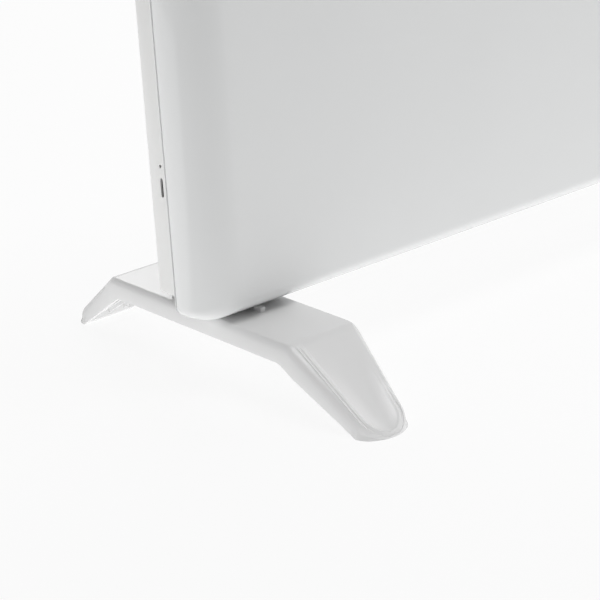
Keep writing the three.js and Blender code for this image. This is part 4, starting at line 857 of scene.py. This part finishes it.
def grain(size):
    """The scale of a texture whose features measure size mm, on coordinates in m."""
    return 1000.0 / size


def node(tree, kind, values=None, links=None, **settings):
    """Adds a node. Values set its input sockets, links join them to (node, output)
    pairs, both by name or place, and settings are the node's own properties."""
    made = tree.nodes.new(kind)
    for key, value in settings.items():
        setattr(made, key, value)
    for key, value in (values or {}).items():
        made.inputs[key].default_value = value
    for key, (source, output) in (links or {}).items():
        tree.links.new(source.outputs[output], made.inputs[key])
    return made


def new_material(name):
    """A material with an empty node tree."""
    material = bpy.data.materials.new(name)
    material.use_nodes = True
    material.node_tree.nodes.clear()
    return material, material.node_tree


# %% [markdown]
# ### Painted steel and moulded plastic
# The cover is stoved enamel under a clear lacquer. The lacquer flows out to a high
# gloss, but keeps a faint orange peel: soft waves about 3 mm apart and a few microns
# high. The housing has a thinner satin powder coat with a finer texture. The feet are
# ABS from a polished mould, whose very fine grain is drawn a little coarser than it is
# so that it shows. The knob, the fascia and the grilles are grained mouldings too.


# %% Coats and mouldings
DRIFT, ROUGH_DRIFT = 80.0, 0.03  # width in mm of slow changes, and their share


def coated(name, light, dark, roughness, wave, depth, **look):
    """A pale coat or moulding. Noise with features wave mm wide bumps it by depth mm,
    and a slow noise lets its colour and roughness drift a little. Look sets the
    shader's other inputs."""
    material, tree = new_material(name)
    at = {"Vector": (node(tree, "ShaderNodeTexCoord"), "Object")}
    slow = node(tree, "ShaderNodeTexNoise", {"Scale": grain(DRIFT), "Detail": 3.0}, at)
    ends = {"Color1": linear(dark), "Color2": linear(light)}
    colour = node(tree, "ShaderNodeMixRGB", ends, {"Fac": (slow, "Fac")})
    ends = {"To Min": roughness - ROUGH_DRIFT, "To Max": roughness + ROUGH_DRIFT}
    gloss = node(tree, "ShaderNodeMapRange", ends, {"Value": (slow, "Fac")})
    fine = node(tree, "ShaderNodeTexNoise", {"Scale": grain(wave), "Detail": 2.0}, at)
    bump = node(tree, "ShaderNodeBump", {"Distance": depth * MM}, {"Height": (fine, "Fac")})
    surface = {"Base Color": (colour, "Color"), "Normal": (bump, "Normal")}
    surface["Roughness"] = (gloss, "Result")
    shader = node(tree, "ShaderNodeBsdfPrincipled", {"IOR": 1.5, **look}, surface)
    node(tree, "ShaderNodeOutputMaterial", links={"Surface": (shader, "BSDF")})
    return material


lacquer = {"Coat Weight": 1.0, "Coat Roughness": 0.06, "Coat IOR": 1.5}
COATS = {  # slot: name, light and dark colour, roughness, wave and depth in mm
    # Stoved and lacquered: a wet gloss over faint waves.
    "cover_paint": ("enamel_lacquered_white", "#E8E9E9", "#E5E6E6", 0.3, 3.0, 0.003),
    # A thin powder coat: satin, with a fine even texture.
    "housing_paint": ("powder_coat_satin_white", "#EBEBEA", "#E8E8E7", 0.4, 0.9, 0.008),
    # From a polished mould: clean highlights on the legs' lines.
    "foot_plastic": ("abs_polished_mould_white", "#E9E9E9", "#E6E6E6", 0.22, 0.7, 0.003),
    # From grained moulds: no highlight, so that slots and edges draw the form.
    "grille_plastic": ("polyamide_grained_white", "#E5E5E4", "#E1E1E0", 0.42, 0.5, 0.01),
    "control_plastic": ("abs_grained_white", "#E3E4E3", "#DFE0DF", 0.4, 0.5, 0.01),
    # A finer grain: a soft shine that shows the flutes.
    "knob_plastic": ("abs_satin_white", "#E9E9E8", "#E6E6E5", 0.33, 0.6, 0.006),
    # Dark and dull: only the rocker's edges catch the light.
    "switch_plastic": ("polyamide_black", "#2A2C2E", "#232527", 0.38, 0.5, 0.008),
}
extra_looks = {"cover_paint": lacquer}
materials = {slot: coated(*row, **extra_looks.get(slot, {})) for slot, row in COATS.items()}
print("coats and mouldings:", sorted(materials))

# %% [markdown]
# ### Bare metal, ceramic and the lamp's lens
# These pieces work inside or underneath. Zinc shows crystals a few millimetres across,
# die-cast fins a fine matt grain, and the element's sheath the brown bloom of heat.


# %% Metals
METAL_GRAIN = 0.4  # mm


def metal(
    name, light, dark, roughness, cells, depth, kind="ShaderNodeTexNoise", output="Fac"
):
    """A bare metal whose colour varies over patches, cells mm across, of a noise or of
    crystals. A finer noise bumps it by depth mm."""
    material, tree = new_material(name)
    at = {"Vector": (node(tree, "ShaderNodeTexCoord"), "Object")}
    patches = node(tree, kind, {"Scale": grain(cells)}, at)
    ends = {"Color1": linear(dark), "Color2": linear(light)}
    colour = node(tree, "ShaderNodeMixRGB", ends, {"Fac": (patches, output)})
    texture = {"Scale": grain(METAL_GRAIN), "Detail": 3.0}
    fine = node(tree, "ShaderNodeTexNoise", texture, at)
    bump = node(tree, "ShaderNodeBump", {"Distance": depth * MM}, {"Height": (fine, "Fac")})
    look = {"Metallic": 1.0, "Roughness": roughness}
    surface = {"Base Color": (colour, "Color"), "Normal": (bump, "Normal")}
    shader = node(tree, "ShaderNodeBsdfPrincipled", look, surface)
    node(tree, "ShaderNodeOutputMaterial", links={"Surface": (shader, "BSDF")})
    return material


crystals = {"kind": "ShaderNodeTexVoronoi", "output": "Color"}
METALS = {  # slot: name, light and dark colour, roughness, patches and grain's depth in mm
    # Chilled in the die: pale grey, matt and a little cloudy.
    "fin_aluminium": ("aluminium_die_cast", "#D0D2D3", "#ADAFB1", 0.45, 6.0, 0.02),
    # Run hot: a brown bloom that changes along the tube.
    "sheath_steel": ("steel_heat_tinted", "#958F84", "#655B51", 0.42, 25.0, 0.006),
    # Stamped and tumbled: warm yellow with a soft shine.
    "terminal_brass": ("brass_stamped", "#CDAB62", "#B49048", 0.32, 4.0, 0.004),
    # Hot-dip galvanised: crystals a few millimetres wide, each of its own grey.
    "bracket_steel": ("steel_galvanised", "#BCBFC1", "#94979A", 0.42, 5.0, 0.006),
    # Bright zinc over drawn wire: small clean highlights round the cross.
    "screw_steel": ("steel_zinc_plated", "#C4C6C8", "#A7A9AC", 0.3, 2.0, 0.003),
}
for slot, row in METALS.items():
    materials[slot] = metal(*row, **(crystals if slot == "bracket_steel" else {}))
print("metals:", sorted(METALS))


# %% Ceramic and lens
SPECK_DEPTH = 0.01  # mm


def speckled(name, light, dark, cells, **look):
    """A material without metal whose colour varies over noise of cells mm. Look sets
    the shader's other inputs."""
    material, tree = new_material(name)
    at = {"Vector": (node(tree, "ShaderNodeTexCoord"), "Object")}
    speck = node(tree, "ShaderNodeTexNoise", {"Scale": grain(cells), "Detail": 4.0}, at)
    ends = {"Color1": linear(dark), "Color2": linear(light)}
    colour = node(tree, "ShaderNodeMixRGB", ends, {"Fac": (speck, "Fac")})
    height = {"Height": (speck, "Fac")}
    bump = node(tree, "ShaderNodeBump", {"Distance": SPECK_DEPTH * MM}, height)
    surface = {"Base Color": (colour, "Color"), "Normal": (bump, "Normal")}
    shader = node(tree, "ShaderNodeBsdfPrincipled", look, surface)
    node(tree, "ShaderNodeOutputMaterial", links={"Surface": (shader, "BSDF")})
    return material


# Steatite, pressed and fired: off white, dull and slightly speckled.
dull = {"Roughness": 0.6, "IOR": 1.55}
materials["bush_ceramic"] = speckled("steatite_ceramic", "#F1ECE2", "#D9D1C1", 0.8, **dull)
# Orange polycarbonate over a dark lamp: glossy, and a third of the light passes.
clear = {"Roughness": 0.12, "IOR": 1.58, "Transmission Weight": 0.35}
lens_colours = ("#E35A33", "#C0401C")
materials["pilot_lens"] = speckled("polycarbonate_orange", *lens_colours, 3.0, **clear)
print(len(materials), "materials")


# %% Dress every piece
def dress(made, slot):
    """Gives a piece the material of its slot, and nothing else."""
    made.data.materials.clear()
    made.data.materials.append(materials[slot])


new_pieces = [cover, knob, pointer, rocker, lens] + feet + edged + screws
for made in new_pieces:
    dress(made, made["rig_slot"])
for name, made in frame["nodes"].items():
    dress(made, slot_of[name])
print("dressed", len(frame["nodes"]), "CAD nodes and", len(new_pieces), "new pieces")

# %% [markdown]
# ## Floor, world and lamps
# A pale studio sweep. Rays from the camera, from gloss and through glass see a white
# floor and a white room. The floor also glows into the pieces, as painted light: most
# under and behind the heater, and less in front, where the weaker glow stands in for
# the heater's shadow. The floor still keeps part of what falls on it, so the heater's
# shadow shows.


# %% Floor
RAY_GLOWS = [  # each ray's share of white glow in what the paper sends back
    ("Is Glossy Ray", 0.5),
    ("Is Transmission Ray", 1.0),
    ("Is Camera Ray", 0.88),
]
# Painted light: the table's glow is strongest under and behind the heater, and weaker
# towards the camera, where it stands in for the heater's shadow.
GLOW_NEAR, GLOW_FAR = 0.8, 0.2  # under and behind the heater, and towards the camera
TABLE_LIGHT = 1.6  # what the table sends into the pieces, where white is 1
FAR_SIDE, NEAR_REACH, FAR_REACH = (-0.1, -0.99, 0.0), 0.22, 0.6


def paper_material():
    """Pale paper on a table whose glow is painted light: it lights the pieces from below,
    most under and behind the heater and less in front, where the weaker glow stands in
    for the heater's shadow. What the camera sees is nearly all white glow with a little lit
    paper, which holds the heater's shadow, and gloss sees more of the lit paper."""
    material, tree = new_material("studio_paper")
    at = {0: (node(tree, "ShaderNodeTexCoord"), "Object")}
    far = node(tree, "ShaderNodeVectorMath", {1: FAR_SIDE}, at, operation="DOT_PRODUCT")
    reach = {"From Min": NEAR_REACH, "From Max": FAR_REACH}
    reach |= {"To Min": GLOW_NEAR, "To Max": GLOW_FAR}
    far = {"Value": (far, "Value")}
    table = node(tree, "ShaderNodeMapRange", reach, far, interpolation_type="SMOOTHSTEP")
    path = node(tree, "ShaderNodeLightPath")
    share = (table, "Result")
    for ray, glow in RAY_GLOWS:
        chosen = {"Factor": (path, ray), "A": share}
        share = (node(tree, "ShaderNodeMix", {"B": glow}, chosen), "Result")
    paper = node(tree, "ShaderNodeBsdfDiffuse", {"Color": linear("#F5F5F5")})
    ends = {"A": 1.0, "B": TABLE_LIGHT}
    strength = node(tree, "ShaderNodeMix", ends, {"Factor": (path, "Is Diffuse Ray")})
    glow = node(tree, "ShaderNodeEmission", links={"Strength": (strength, "Result")})
    light = {"Fac": share, 1: (paper, "BSDF"), 2: (glow, "Emission")}
    mix = node(tree, "ShaderNodeMixShader", links=light)
    node(tree, "ShaderNodeOutputMaterial", links={"Surface": (mix, "Shader")})
    return material


FLOOR_HALF = 6.0
corners = [(x, y, 0.0) for x, y in ((-1, -1), (1, -1), (1, 1), (-1, 1))]
floor_mesh = bpy.data.meshes.new("studio_floor")
floor_mesh.from_pydata((np.array(corners) * FLOOR_HALF).tolist(), [], [(0, 1, 2, 3)])
floor = bpy.data.objects.new("studio_floor", floor_mesh)
bpy.context.scene.collection.objects.link(floor)
floor.data.materials.append(paper_material())

# %% World
WORLD_LIGHT = 0.06  # the room's own light, where white is 1
world = bpy.data.worlds.new("studio_room")
bpy.context.scene.world = world
world.use_nodes = True
tree = world.node_tree
tree.nodes.clear()
path = node(tree, "ShaderNodeLightPath")
rays = {0: (path, "Is Camera Ray"), 1: (path, "Is Glossy Ray")}
rays = node(tree, "ShaderNodeMath", links=rays, operation="MAXIMUM")
rays = {0: (rays, "Value"), 1: (path, "Is Transmission Ray")}
seen = node(tree, "ShaderNodeMath", links=rays, operation="MAXIMUM")
level = {"Factor": (seen, "Value")}
level = node(tree, "ShaderNodeMix", {"A": WORLD_LIGHT, "B": 1.0}, level)
level = {"Strength": (level, "Result")}
room = node(tree, "ShaderNodeBackground", {"Color": (1, 1, 1, 1)}, level)
node(tree, "ShaderNodeOutputWorld", links={"Surface": (room, "Background")})


# %% Lamps
def softbox(name, place, target, size, power):
    """A square lamp, size m wide, at a place and facing a target."""
    data = bpy.data.lights.new(name, "AREA")
    data.shape, data.size, data.energy = "SQUARE", size, power
    back = np.array(place, float) - target
    back /= np.linalg.norm(back)
    side = np.cross((0.0, 0.0, 1.0) if abs(back[2]) < 0.99 else (0.0, 1.0, 0.0), back)
    side /= np.linalg.norm(side)
    placing = np.eye(4)
    placing[:3, :3] = np.stack([side, np.cross(back, side), back], axis=1)
    placing[:3, 3] = place
    made = bpy.data.objects.new(name, data)
    made.matrix_world = placing.T.tolist()
    made.visible_camera = False
    bpy.context.scene.collection.objects.link(made)
    print(name, "at", place, "power", power, "W")
    return made


MIDDLE = (0.0, 0.0, 0.2)
softbox("lamp_above", (-0.15, -0.2, 2.35), MIDDLE, 2.0, 19.5)
softbox("lamp_above_front", (-0.25, -0.72, 2.2), (-0.25, -0.05, 0.1), 1.0, 9.6)
softbox("lamp_left", (-2.03, 0.0, 0.83), MIDDLE, 1.4, 1.6)
softbox("lamp_right", (1.58, 0.0, 1.15), MIDDLE, 1.4, 7.0)
softbox("lamp_front_right_low", (1.22, -1.37, 0.67), MIDDLE, 1.4, 4.7)
softbox("lamp_front_right_high", (0.76, -0.91, 1.68), MIDDLE, 1.4, 2.2)
softbox("lamp_behind_right", (1.01, 1.16, 1.3), MIDDLE, 1.4, 13.5)
softbox("light_pad_left", (-0.8, 0.44, 0.004), (-0.8, 0.44, 1.0), 0.84, 1.3)
